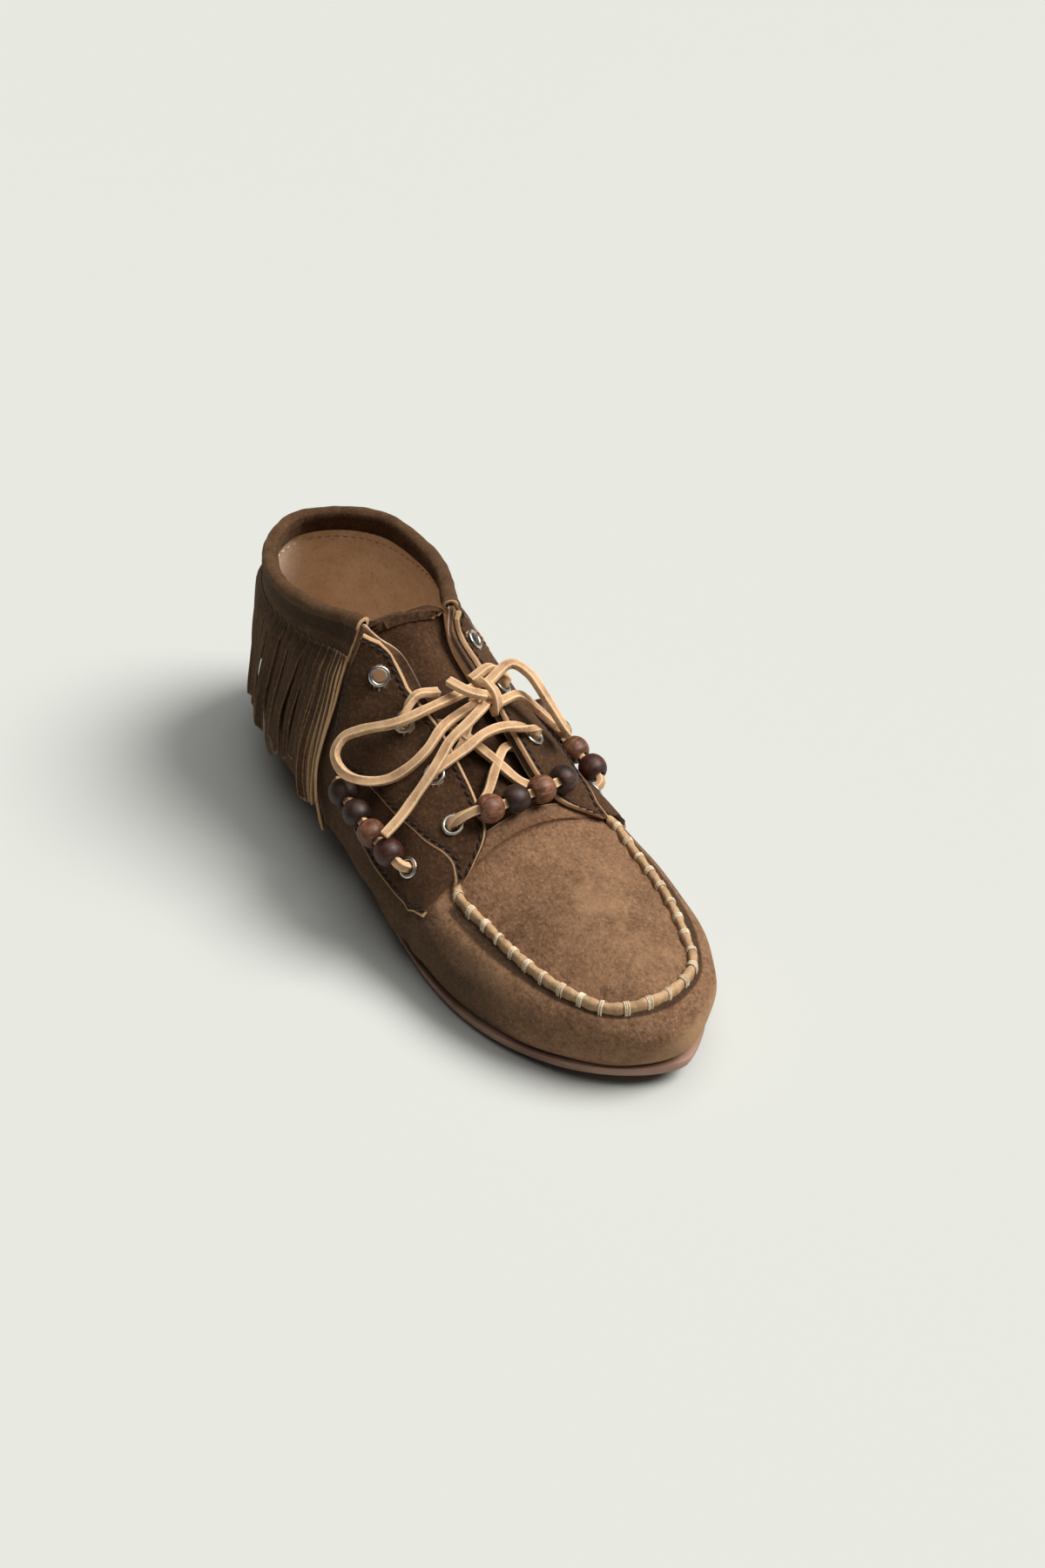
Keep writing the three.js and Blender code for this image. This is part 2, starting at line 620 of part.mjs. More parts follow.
// An overlay on the wall between two edges: each row gives a section and the overlay's lower and upper edge there.
function overlay(rows, side, columns, thickness, holes) {
  const grid = (out) => rows.map(({ section, low, high }) => Array.from({ length: columns + 1 }, (_, i) =>
    wall(ringShare(section, side), between(low, high, i / columns), out)));
  let solid = solidFrom(slab(grid(SEAT + thickness), grid(SEAT)));
  for (const hole of holes) solid = solid.subtract(holeCutter(hole, side));
  return solid;
}

// The facings with the four lace holes, from the cuff's front edge to the seam.
const facingRows = [
  { section: 6.15, low: 0.86, high: 0.985 },
  { section: 6.5, low: 0.74, high: 0.99 },
  { section: 7, low: 0.66, high: 1 },
  { section: 7.4, low: 0.61, high: 0.99 },
  { section: 7.9, low: 0.575, high: 0.975 },
  { section: 8.2, low: 0.588, high: 0.97 },
  { section: 8.6, low: 0.612, high: 0.965 },
  { section: 9, low: 0.64, high: 0.98 },
  { section: 9.5, low: 0.67, high: 1 },
  { section: 10, low: 0.7, high: 1 },
  { section: 10.5, low: 0.73, high: 1 },
  { section: 11, low: 0.755, high: 1 },
  { section: 11.5, low: 0.78, high: 1 },
  { section: 12, low: 0.81, high: 1 },
  { section: 12.5, low: 0.845, high: 1 },
  { section: 13, low: 0.875, high: 1 },
  { section: 13.4, low: 0.895, high: 0.97 },
];
// The quarter strips below them.
const quarterRows = [
  { section: 8.45, low: 0.5, high: 0.59 },
  { section: 9, low: 0.47, high: 0.625 },
  { section: 9.5, low: 0.455, high: 0.655 },
  { section: 10, low: 0.455, high: 0.685 },
  { section: 10.5, low: 0.465, high: 0.715 },
  { section: 11, low: 0.475, high: 0.74 },
  { section: 11.5, low: 0.49, high: 0.765 },
  { section: 12, low: 0.505, high: 0.795 },
  { section: 12.5, low: 0.502, high: 0.83 },
  { section: 13, low: 0.545, high: 0.86 },
  { section: 13.4, low: 0.565, high: 0.82 },
  { section: 13.7, low: 0.585, high: 0.7 },
  { section: 13.95, low: 0.6, high: 0.66 },
];
const FACING_THICKNESS = 1.7;

// The fringe cuff: a band rolled over the collar's edge, with strips cut into it.
const CUFF_THICKNESS = 1.35;
const CUFF_FRONT = 5.85;
const BAND_AT = 0.86;
const ROLL_INSIDE = 0.93;

function cuffBand() {
  const steps = sectionSteps(0, CUFF_FRONT, WALL_STEP);
  const shares = [
    ...steps.slice().reverse().map((section) => ringShare(section, "lateral")),
    ...steps.slice(1).map((section) => ringShare(section, "medial")),
  ];
  const rows = shares.map((u) => {
    const rim = wall(u, 1, -WALL / 2);
    const normal = wall(u, 1, 1).sub(wall(u, 1, 0)).normalize();
    const up = wall(u, 1, 0).sub(wall(u, 0.96, 0)).normalize();
    const arc = (radius, angles) => angles.map((angle) => rim.clone()
      .addScaledVector(normal, radius * Math.cos(angle))
      .addScaledVector(up, radius * Math.sin(angle)));
    const outer = WALL / 2 + GAP + CUFF_THICKNESS;
    const inner = WALL / 2 + 2 * GAP;
    const turns = [0, 0.33, 0.67, 1].map((share) => share * Math.PI);
    return [
      wall(u, BAND_AT, GAP + CUFF_THICKNESS),
      wall(u, (1 + BAND_AT) / 2, GAP + CUFF_THICKNESS),
      ...arc(outer, turns),
      wall(u, ROLL_INSIDE, -WALL - GAP - CUFF_THICKNESS),
      wall(u, ROLL_INSIDE, -WALL - 2 * GAP),
      ...arc(inner, [...turns].reverse()),
      wall(u, BAND_AT, GAP),
    ];
  });
  return solidFrom(loft(rows));
}

const STRIP_COUNT = 34;
const STRIP_WIDTH = 4.4;
const STRIP_THICKNESS = 1.5;
const STRIP_LEVELS = 3;
const STRIP_CLEAR = 1.2;

// Strip number to a repeatable share between 0 and 1, so that lengths and twists differ.
const vary = (number, seed) => {
  const wave = Math.sin(number * 12.9898 + seed * 78.233) * 43758.5453;
  return wave - Math.floor(wave);
};

// One strip hangs from the band along the wall, standing off it and turning a little as it goes down.
function fringeStrip(number) {
  const share = number / (STRIP_COUNT - 1);
  const side = share < 0.5 ? "lateral" : "medial";
  const top = (CUFF_FRONT - 0.3) * Math.abs(1 - 2 * share) ** 0.85;
  const forward = 1 + 0.32 * ramp(top, 4, CUFF_FRONT);
  const end = between(0.2, 0.42, vary(number, 1)) + 0.06 * ramp(top, 2, 5);
  const twist = (vary(number, 2) - 0.5) * 1.1;
  const rows = Array.from({ length: STRIP_LEVELS + 1 }, (_, level) => {
    const down = level / STRIP_LEVELS;
    const v = between(BAND_AT + 0.03, end, down);
    const section = top * between(1, forward, down ** 1.3);
    const angle = twist * down;
    const width = STRIP_WIDTH * between(1, 0.8, down);
    const lift = GAP + STRIP_THICKNESS / 2 + ramp(down, 0, 0.25) * STRIP_CLEAR
      + Math.abs(Math.sin(angle)) * width / 2 + 1.6 * vary(number, 3) * down;
    const { point, normal } = seat(section, side, v, lift);
    const below = seat(section, side, v - 0.03, lift).point;
    const path = below.sub(point).normalize();
    const across = new THREE.Vector3().crossVectors(path, normal).normalize();
    const wide = across.clone().multiplyScalar(Math.cos(angle)).addScaledVector(normal, Math.sin(angle));
    const thick = new THREE.Vector3().crossVectors(wide, path).normalize();
    return [[-1, -1], [1, -1], [1, 1], [-1, 1]].map(([w, t]) => point.clone()
      .addScaledVector(wide, w * width / 2)
      .addScaledVector(thick, t * STRIP_THICKNESS / 2));
  });
  return solidFrom(loft(rows));
}

function fringeCuff() {
  let solid = cuffBand();
  for (let number = 0; number < STRIP_COUNT; number += 1) solid = solid.add(fringeStrip(number));
  return solid;
}

// An eyelet: a rim on the overlay and a short barrel through the leather.
function eyelet() {
  const [inner, barrel, outer] = [EYELET_INNER / 2, EYELET_HOLE / 2 - GAP * 0.6, EYELET_OUTER / 2];
  const foot = -WALL - 1;
  const profile = [[inner, foot], [barrel, foot], [barrel, 0], [outer, 0], [inner, EYELET_RIM], [inner, foot]];
  const geometry = new THREE.LatheGeometry(profile.map(([r, z]) => new THREE.Vector2(r, z)), ROUND_SIDES);
  geometry.rotateX(Math.PI / 2);
  return outward(mergeVertices(stripped(geometry), 1e-4));
}

function stripped(geometry) {
  const plain = geometry.clone();
  plain.deleteAttribute("normal");
  plain.deleteAttribute("uv");
  return plain;
}

// The lace: plain round tubes through places on the leather and round the knot.
const LACE = 3;
const LACE_SIDES = 8;
const BAR_STEP = 1.6 * LACE;
const CORD_STEP = 2.2 * LACE;
const UNDER = TONGUE_DEPTH / 2 + 0.8;
const THROUGH = { below: -WALL - TONGUE_DEPTH / 2, middle: 0, above: 4.6 };

const laceShape = () => new THREE.Shape(Array.from({ length: LACE_SIDES }, (_, i) => {
  const angle = (i / LACE_SIDES) * 2 * Math.PI;
  return new THREE.Vector2(Math.cos(angle), Math.sin(angle)).multiplyScalar(LACE / 2);
}));

function laceTube(points, step) {
  const route = new THREE.CatmullRomCurve3(points, false, "centripetal");
  const steps = Math.round(route.getLength() / step);
  const geometry = new THREE.ExtrudeGeometry(laceShape(), { steps, bevelEnabled: false, extrudePath: route });
  return outward(mergeVertices(stripped(geometry), 1e-4));
}

// The lace at a hole: below the leather, in its middle or above the eyelet.
const atHole = (number, side, place) => {
  const hole = laceHoles[number - 1];
  return seat(hole.section, side, hole.up, THROUGH[place]).point;
};
const goOut = (number, side) => ["below", "middle", "above"].map((place) => atHole(number, side, place));
const goIn = (number, side) => goOut(number, side).reverse();
// The lace between the tongue and the facings, at a section and a share of the way across.
const under = (section, t) => tongueAt(section, t, UNDER);
// The lace over the throat, at a height over the line between the two facings.
const over = ({ section, t, lift }) => {
  const [a, b] = SIDES.map((side) => wallPoint(ringShare(section, side), 1));
  return a.lerp(b, t).add(new THREE.Vector3(0, 0, lift));
};

// Over the throat: the bar with beads at the bottom, the bar above it, and two short runs towards the knot.
const beadRows = [
  { section: 11.8, t: -0.1, lift: 8.4 },
  { section: 11.95, t: 0.1, lift: 8.6 },
  { section: 11.95, t: 0.45, lift: 8.6 },
  { section: 11.95, t: 0.8, lift: 8.4 },
  { section: 11.8, t: 1.13, lift: 7 },
];
const crossRows = [
  { section: 10.15, t: 0.85, lift: 8.2 },
  { section: 10.15, t: 0.45, lift: 8.6 },
  { section: 10.2, t: 0.12, lift: 6.6 },
];
const knotRows = [
  { section: 9.02, t: -0.2, lift: 4.4 },
  { section: 9.06, t: 0.2, lift: 3.4 },
];
const beadBar = () => [...goOut(4, "lateral"), ...beadRows.map(over), ...goIn(4, "medial")];
const bars = () => [
  beadBar(),
  [atHole(4, "lateral", "below"), under(11, 0.3), under(10.6, 0.5), under(10.2, 0.72), ...goOut(3, "medial"),
    ...crossRows.map(over), ...goIn(3, "lateral")],
  [atHole(3, "lateral", "below"), under(9.9, 0.3), under(9.6, 0.5), under(9.3, 0.72), ...goOut(2, "medial"),
    ...knotRows.map((row) => over({ ...row, t: 1 - row.t }))],
  [atHole(4, "medial", "below"), under(11, 0.7), under(10.3, 0.5), under(9.5, 0.28), ...goOut(2, "lateral"),
    ...knotRows.map(over)],
];

function laceBars() {
  const [first, ...rest] = bars().map((points) => solidFrom(laceTube(points, BAR_STEP)));
  return rest.reduce((solid, tube) => solid.add(tube), first);
}

// The knot's middle and the reach of the loops and ends that the routes below are shares of.
const KNOT = new THREE.Vector3(0.513 * LENGTH, 0.092 * BALL_WIDTH, 1.29 * INSTEP_RISE);
const REACH = 40;
const fromKnot = ({ ahead, inward, up }) => KNOT.clone()
  .add(new THREE.Vector3(ahead, inward, up).multiplyScalar(REACH));

// Routes of the knot's wrap, the two loops and the two ends, as shares of the reach.
const knotRoute = [
  { ahead: -0.13, inward: -0.02, up: -0.06 },
  { ahead: -0.13, inward: -0.02, up: 0.06 },
  { ahead: -0.03, inward: 0, up: 0.135 },
  { ahead: 0.1, inward: 0.02, up: 0.11 },
  { ahead: 0.15, inward: 0.02, up: 0 },
  { ahead: 0.1, inward: 0.01, up: -0.1 },
];
const loopLeftRoute = [
  { ahead: -0.1, inward: -0.07, up: 0.06 },
  { ahead: -0.08, inward: -0.31, up: 0.06 },
  { ahead: -0.08, inward: -0.55, up: 0.04 },
  { ahead: -0.15, inward: -0.79, up: -0.04 },
  { ahead: -0.39, inward: -1.02, up: -0.19 },
  { ahead: -0.49, inward: -1.14, up: -0.29 },
  { ahead: -0.46, inward: -1.24, up: -0.4 },
  { ahead: -0.31, inward: -1.25, up: -0.49 },
  { ahead: -0.13, inward: -1.16, up: -0.5 },
  { ahead: 0.01, inward: -1, up: -0.46 },
  { ahead: 0.1, inward: -0.84, up: -0.34 },
  { ahead: 0.12, inward: -0.67, up: -0.21 },
  { ahead: 0.05, inward: -0.46, up: -0.09 },
  { ahead: -0.03, inward: -0.07, up: -0.05 },
];
const loopRightRoute = [
  { ahead: -0.07, inward: 0.05, up: 0.08 },
  { ahead: -0.13, inward: 0.33, up: 0.14 },
  { ahead: 0.02, inward: 0.42, up: 0.09 },
  { ahead: 0.24, inward: 0.46, up: -0.06 },
  { ahead: 0.4, inward: 0.52, up: -0.26 },
  { ahead: 0.41, inward: 0.57, up: -0.36 },
  { ahead: 0.33, inward: 0.56, up: -0.4 },
  { ahead: 0.25, inward: 0.52, up: -0.34 },
  { ahead: 0.13, inward: 0.43, up: -0.22 },
  { ahead: 0.03, inward: 0.31, up: -0.09 },
  { ahead: 0.08, inward: 0.07, up: -0.04 },
];
const endLongRoute = [
  { ahead: 0.12, inward: -0.08, up: 0.04 },
  { ahead: 0.2, inward: -0.3, up: -0.01 },
  { ahead: 0.23, inward: -0.5, up: -0.1 },
  { ahead: 0.29, inward: -0.64, up: -0.19 },
  { ahead: 0.33, inward: -0.76, up: -0.28 },
  { ahead: 0.35, inward: -0.91, up: -0.42 },
  { ahead: 0.39, inward: -1.1, up: -0.56 },
  { ahead: 0.43, inward: -1.28, up: -0.64 },
];
const endShortRoute = [
  { ahead: 0.13, inward: -0.08, up: 0.133 },
  { ahead: 0.05, inward: -0.21, up: 0.18 },
  { ahead: -0.14, inward: -0.29, up: 0.2 },
];
const cord = (route) => laceTube(route.map(fromKnot), CORD_STEP);

// Wooden beads, threaded with a clear hole round the lace.
const BEAD = { outer: 10, hole: 5.2, half: 4.2 };
const BEAD_SIDES = 8;

function bead() {
  const [hole, outer, half] = [BEAD.hole / 2, BEAD.outer / 2, BEAD.half];
  const profile = [
    [hole, -half], [outer * 0.72, -half * 0.72], [outer, 0], [outer * 0.72, half * 0.72], [hole, half], [hole, -half],
  ];
  const geometry = new THREE.LatheGeometry(profile.map(([r, z]) => new THREE.Vector2(r, z)), BEAD_SIDES);
  geometry.rotateX(Math.PI / 2);
  return outward(mergeVertices(stripped(geometry), 1e-4));
}

// Beads sit on a lace route at their own distances along it.
function beadPlaces(points, first, count) {
  const route = new THREE.CatmullRomCurve3(points, false, "centripetal");
  const length = route.getLength();
  return Array.from({ length: count }, (_, i) => {
    const share = (first + i * (BEAD.outer + GAP)) / length;
    const turn = new THREE.Quaternion().setFromUnitVectors(new THREE.Vector3(0, 0, 1), route.getTangentAt(share));
    return { point: route.getPointAt(share), turn };
  });
}

// The side lace comes out of the side eyelet, runs back through four beads and goes in under the fringe.
const sideLaceRows = [
  { section: 11.2, up: 0.637, lateral: -4.5, medial: -4.5 },
  { section: 11.2, up: 0.637, lateral: 1, medial: 1 },
  { section: 11.1, up: 0.637, lateral: 6.2, medial: 6.2 },
  { section: 10.55, up: 0.63, lateral: 7.2, medial: 7.2 },
  { section: 9.9, up: 0.61, lateral: 7.2, medial: 7.2 },
  { section: 9.4, up: 0.595, lateral: 7.2, medial: 7.4 },
  { section: 8.9, up: 0.585, lateral: 7.2, medial: 7.8 },
  { section: 8.45, up: 0.58, lateral: 6.2, medial: 6.8 },
];
const SIDE_BEADS_FROM = 17;
const sideLace = (side) => sideLaceRows.map((row) => seat(row.section, side, row.up, row[side]).point);

const part = new THREE.Group();
part.name = "fringe_boot";

function addMesh(name, geometry, finish, placed = {}) {
  const mesh = new THREE.Mesh(geometry, new THREE.MeshStandardMaterial(finish));
  mesh.name = name;
  if (placed.point) mesh.position.copy(placed.point);
  if (placed.turn) mesh.quaternion.copy(placed.turn);
  part.add(mesh);
  return mesh;
}

const SUEDE = { color: 0x6e4e30, roughness: 0.95, metalness: 0 };
const DARK_SUEDE = { color: 0x4a3020, roughness: 0.95, metalness: 0 };
const RUBBER = { color: 0xb08a78, roughness: 0.6, metalness: 0 };
const LINING = { color: 0xa9825a, roughness: 0.9, metalness: 0 };
const STEEL = { color: 0xc8c8c4, roughness: 0.3, metalness: 1 };
const LACING = { color: 0x9a7048, roughness: 0.95, metalness: 0 };
const WOODS = {
  light: { color: 0xa8703c, roughness: 0.35, metalness: 0 },
  dark: { color: 0x24160e, roughness: 0.3, metalness: 0 },
  red: { color: 0x5a2414, roughness: 0.3, metalness: 0 },
};
const BAR_TONES = ["light", "dark", "light", "dark"];
const SIDE_TONES = ["red", "light", "dark", "light"];
const BAR_BEADS_FROM = 23.7;

addMesh("outsole", outsole(), RUBBER);
addMesh("insole", insole(), LINING);
addMesh("upper", geometryFrom(upper()), SUEDE);
addMesh("tongue", tongue(), DARK_SUEDE);
addMesh("fringe_cuff", geometryFrom(fringeCuff()), DARK_SUEDE);
for (const side of SIDES) {
  addMesh(`eyestay_${side}`, geometryFrom(overlay(facingRows, side, 5, FACING_THICKNESS, laceHoles)), DARK_SUEDE);
  addMesh(`quarter_${side}`, geometryFrom(overlay(quarterRows, side, 3, OVERLAY, [sideHole])), DARK_SUEDE);
  for (const hole of laceHoles) {
    const placed = seat(hole.section, side, hole.up, rimHeight(hole, side, FACING_THICKNESS));
    addMesh(`eyelet_${side}_${hole.name}`, eyelet(), STEEL, placed);
  }
  const placed = seat(sideHole.section, side, sideHole.up, rimHeight(sideHole, side, OVERLAY));
  addMesh(`side_eyelet_${side}`, eyelet(), STEEL, placed);
  addMesh(`side_lace_${side}`, laceTube(sideLace(side), BAR_STEP), LACING);
  beadPlaces(sideLace(side), SIDE_BEADS_FROM, SIDE_TONES.length).forEach((place, i) => {
    addMesh(`bead_${side}_${i + 1}_${SIDE_TONES[i]}`, bead(), WOODS[SIDE_TONES[i]], place);
  });
}
addMesh("lace_bars", geometryFrom(laceBars()), LACING);
addMesh("lace_knot", cord(knotRoute), LACING);
addMesh("lace_loop_left", cord(loopLeftRoute), LACING);
addMesh("lace_loop_right", cord(loopRightRoute), LACING);
addMesh("lace_end_long", cord(endLongRoute), LACING);
addMesh("lace_end_short", cord(endShortRoute), LACING);
beadPlaces(beadBar(), BAR_BEADS_FROM, BAR_TONES.length).forEach((place, i) => {
  addMesh(`bead_bar_${i + 1}_${BAR_TONES[i]}`, bead(), WOODS[BAR_TONES[i]], place);
});
part.position.x = -ORIGIN_AT * LENGTH;
export default part;
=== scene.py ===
"""Dresses the fringe boot: suede, lining, fringe, laces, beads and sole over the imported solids, in metres."""

from __future__ import annotations

import logging
import math
from dataclasses import dataclass, field
from enum import Enum
from typing import Any, Callable, NamedTuple, Sequence

import bpy
import numpy as np
from mathutils import Matrix, Vector


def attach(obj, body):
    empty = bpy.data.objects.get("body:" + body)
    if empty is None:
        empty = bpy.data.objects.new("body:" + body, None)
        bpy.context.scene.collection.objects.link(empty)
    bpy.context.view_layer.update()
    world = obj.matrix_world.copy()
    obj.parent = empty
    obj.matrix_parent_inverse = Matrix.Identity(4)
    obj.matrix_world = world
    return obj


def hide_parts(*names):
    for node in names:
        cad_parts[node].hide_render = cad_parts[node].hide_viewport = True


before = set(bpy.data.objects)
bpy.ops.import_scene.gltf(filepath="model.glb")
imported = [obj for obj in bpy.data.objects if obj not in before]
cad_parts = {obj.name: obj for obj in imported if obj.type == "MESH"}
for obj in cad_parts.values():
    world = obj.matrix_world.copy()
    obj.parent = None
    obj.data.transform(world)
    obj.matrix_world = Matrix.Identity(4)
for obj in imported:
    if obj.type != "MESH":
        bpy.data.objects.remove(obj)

log = logging.getLogger("fringe_boot")
Points = np.ndarray
Colour = tuple[float, float, float]
MM = 0.001
LENGTH = 254.0
ORIGIN_X = 0.122 * LENGTH
LEATHER_SEAT = 0.62
FACING_THICKNESS = 1.7
STRIP_THICKNESS = 1.3


class Side(Enum):
    """The outer or the inner side of the boot."""

    LATERAL = "lateral"
    MEDIAL = "medial"


class Tone(Enum):
    """The wood that a bead is turned from."""

    LIGHT = "light"
    DARK = "dark"
    RED = "red"


class Profile(NamedTuple):
    """One side of a wall section, as shares of its tables' sizes."""

    lean: float
    bulge: float
    low: float
    high: float
    top: float
    rise: float


class Section(NamedTuple):
    """One section of the wall with its two sides."""

    at: float
    low_at: float
    high_at: float
    lateral: Profile
    medial: Profile


class Outline(NamedTuple):
    """Half widths of the sole at one share of its length."""

    at: float
    lateral: float
    medial: float


class Band(NamedTuple):
    """The two edges of a strip of leather at one section."""

    section: float
    low: float
    high: float


class Reach(NamedTuple):
    """A place of the bow, as shares of its reach from the knot."""

    ahead: float
    inward: float
    up: float


class Over(NamedTuple):
    """A place of the lace over the throat."""

    section: float
    t: float
    lift: float


COLLAR_ROWS = (
    Section(
        0.024, 0.39, 0.72,
        Profile(0.039, 0.03, 0.165, 0.155, 0.143, 0.97),
        Profile(0.041, 0.03, 0.18, 0.185, 0.179, 0.976),
    ),
    Section(
        0.087, 0.39, 0.72,
        Profile(0.031, 0.045, 0.28, 0.272, 0.268, 0.978),
        Profile(0.039, 0.04, 0.31, 0.315, 0.315, 0.99),
    ),
    Section(
        0.165, 0.39, 0.72,
        Profile(0.035, 0.09, 0.393, 0.357, 0.339, 1.009),
        Profile(0.054, 0.05, 0.405, 0.381, 0.339, 1.0),
    ),
    Section(
        0.26, 0.39, 0.72,
        Profile(0.031, 0.1, 0.44, 0.369, 0.315, 1.043),
        Profile(0.039, 0.05, 0.405, 0.357, 0.292, 1.024),
    ),
    Section(
        0.339, 0.39, 0.72,
        Profile(0.012, 0.105, 0.458, 0.351, 0.262, 1.089),
        Profile(0.023, 0.055, 0.393, 0.321, 0.208, 1.046),
    ),
    Section(
        0.37, 0.4, 0.72,
        Profile(0.012, 0.105, 0.464, 0.345, 0.244, 1.104),
        Profile(0.019, 0.055, 0.393, 0.31, 0.167, 1.061),
    ),
    Section(
        0.39, 0.41, 0.74,
        Profile(0.006, 0.105, 0.47, 0.339, 0.196, 1.049),
        Profile(0.006, 0.055, 0.393, 0.31, 0.152, 1.018),
    ),
)
THROAT_ROWS = (
    Section(
        0.413, 0.42, 0.76,
        Profile(-0.004, 0.1, 0.448, 0.333, 0.125, 1.337),
        Profile(-0.004, 0.055, 0.393, 0.304, 0.131, 1.337),
    ),
    Section(
        0.472, 0.45, 0.78,
        Profile(0, 0.095, 0.46, 0.339, 0.119, 1.173),
        Profile(0, 0.055, 0.399, 0.321, 0.137, 1.173),
    ),
    Section(
        0.547, 0.46, 0.79,
        Profile(0, 0.085, 0.482, 0.357, 0.119, 0.995),
        Profile(0, 0.05, 0.429, 0.351, 0.143, 0.987),
    ),
    Section(
        0.598, 0.49, 0.8,
        Profile(0.004, 0.07, 0.496, 0.363, 0.125, 0.838),
        Profile(0.004, 0.05, 0.452, 0.375, 0.155, 0.83),
    ),
    Section(
        0.626, 0.51, 0.82,
        Profile(0.014, 0.06, 0.502, 0.375, 0.155, 0.745),
        Profile(0.014, 0.045, 0.47, 0.405, 0.19, 0.735),
    ),
    Section(
        0.644, 0.57, 0.86,
        Profile(0.012, 0.05, 0.502, 0.405, 0.25, 0.61),
        Profile(0.012, 0.045, 0.482, 0.44, 0.31, 0.61),
    ),
)
TOE_ROWS = (
    Section(
        0.661, 0.68, 0.92,
        Profile(0, 0.038, 0.506, 0.429, 0.333, 1.16),
        Profile(0, 0.045, 0.494, 0.464, 0.41, 1.22),
    ),
    Section(
        0.732, 0.65, 0.88,
        Profile(0, 0.024, 0.488, 0.417, 0.321, 1.016),
        Profile(0, 0.042, 0.506, 0.476, 0.399, 1.12),
    ),
    Section(
        0.827, 0.66, 0.89,
        Profile(-0.004, 0.024, 0.423, 0.369, 0.298, 0.96),
        Profile(-0.014, 0.042, 0.47, 0.44, 0.369, 1.02),
    ),
    Section(
        0.898, 0.68, 0.9,
        Profile(-0.012, 0.024, 0.333, 0.298, 0.25, 0.9),
        Profile(-0.019, 0.042, 0.405, 0.375, 0.31, 0.92),
    ),
    Section(
        0.961, 0.69, 0.9,
        Profile(-0.021, 0.024, 0.179, 0.173, 0.155, 0.84),
        Profile(-0.029, 0.036, 0.274, 0.256, 0.232, 0.84),
    ),
)
OUTLINE_ROWS = (
    Outline(0.008, 0.09, 0.095),
    Outline(0.031, 0.175, 0.185),
    Outline(0.079, 0.258, 0.27),
    Outline(0.157, 0.325, 0.33),
    Outline(0.26, 0.358, 0.345),
    Outline(0.378, 0.385, 0.324),
    Outline(0.496, 0.433, 0.348),
    Outline(0.594, 0.482, 0.424),
    Outline(0.673, 0.504, 0.483),
    Outline(0.752, 0.493, 0.495),
    Outline(0.831, 0.433, 0.46),
    Outline(0.909, 0.314, 0.371),
    Outline(0.961, 0.174, 0.248),
    Outline(0.992, 0.033, 0.13),
)
FACING_ROWS = (
    Band(6.15, 0.86, 0.985),
    Band(6.5, 0.74, 0.99),
    Band(7, 0.66, 1),
    Band(7.4, 0.61, 0.99),
    Band(7.9, 0.575, 0.975),
    Band(8.2, 0.588, 0.97),
    Band(8.6, 0.612, 0.965),
    Band(9, 0.64, 0.98),
    Band(9.5, 0.67, 1),
    Band(10, 0.7, 1),
    Band(10.5, 0.73, 1),
    Band(11, 0.755, 1),
    Band(11.5, 0.78, 1),
    Band(12, 0.81, 1),
    Band(12.5, 0.845, 1),
    Band(13, 0.875, 1),
    Band(13.4, 0.895, 0.97),
)
QUARTER_ROWS = (
    Band(8.45, 0.5, 0.59),
    Band(9, 0.47, 0.625),
    Band(9.5, 0.455, 0.655),
    Band(10, 0.455, 0.685),
    Band(10.5, 0.465, 0.715),
    Band(11, 0.475, 0.74),
    Band(11.5, 0.49, 0.765),
    Band(12, 0.505, 0.795),
    Band(12.5, 0.502, 0.83),
    Band(13, 0.545, 0.86),
    Band(13.4, 0.565, 0.82),
    Band(13.7, 0.585, 0.7),
    Band(13.95, 0.6, 0.66),
)
TONGUE_ROWS = (
    Band(5.35, 0.36, 0.6),
    Band(5.5, 0.28, 0.68),
    Band(5.75, 0.22, 0.74),
    Band(6.2, 0.17, 0.79),
    Band(7.0, 0.13, 0.84),
    Band(8.0, 0.1, 0.87),
    Band(9.0, 0.04, 0.9),
    Band(10.0, 0.0, 1.0),
    Band(11.0, 0.0, 1.0),
    Band(11.7, 0.05, 0.95),
    Band(12.8, 0.16, 0.84),
)
KNOT_ROUTE = (
    Reach(-0.13, -0.02, -0.06),
    Reach(-0.13, -0.02, 0.06),
    Reach(-0.03, 0, 0.135),
    Reach(0.1, 0.02, 0.11),
    Reach(0.15, 0.02, 0),
    Reach(0.1, 0.01, -0.1),
)
LOOP_LEFT_ROUTE = (
    Reach(-0.1, -0.07, 0.06),
    Reach(-0.08, -0.31, 0.06),
    Reach(-0.08, -0.55, 0.04),
    Reach(-0.15, -0.79, -0.04),
    Reach(-0.39, -1.02, -0.19),
    Reach(-0.49, -1.14, -0.29),
    Reach(-0.46, -1.24, -0.4),
    Reach(-0.31, -1.25, -0.49),
    Reach(-0.13, -1.16, -0.5),
    Reach(0.01, -1, -0.46),
    Reach(0.1, -0.84, -0.34),
    Reach(0.12, -0.67, -0.21),
    Reach(0.05, -0.46, -0.09),
    Reach(-0.03, -0.07, -0.05),
)
LOOP_RIGHT_ROUTE = (
    Reach(-0.07, 0.05, 0.08),
    Reach(-0.13, 0.33, 0.14),
    Reach(0.02, 0.42, 0.09),
    Reach(0.24, 0.46, -0.06),
    Reach(0.4, 0.52, -0.26),
    Reach(0.41, 0.57, -0.36),
    Reach(0.33, 0.56, -0.4),
    Reach(0.25, 0.52, -0.34),
    Reach(0.13, 0.43, -0.22),
    Reach(0.03, 0.31, -0.09),
    Reach(0.08, 0.07, -0.04),
)
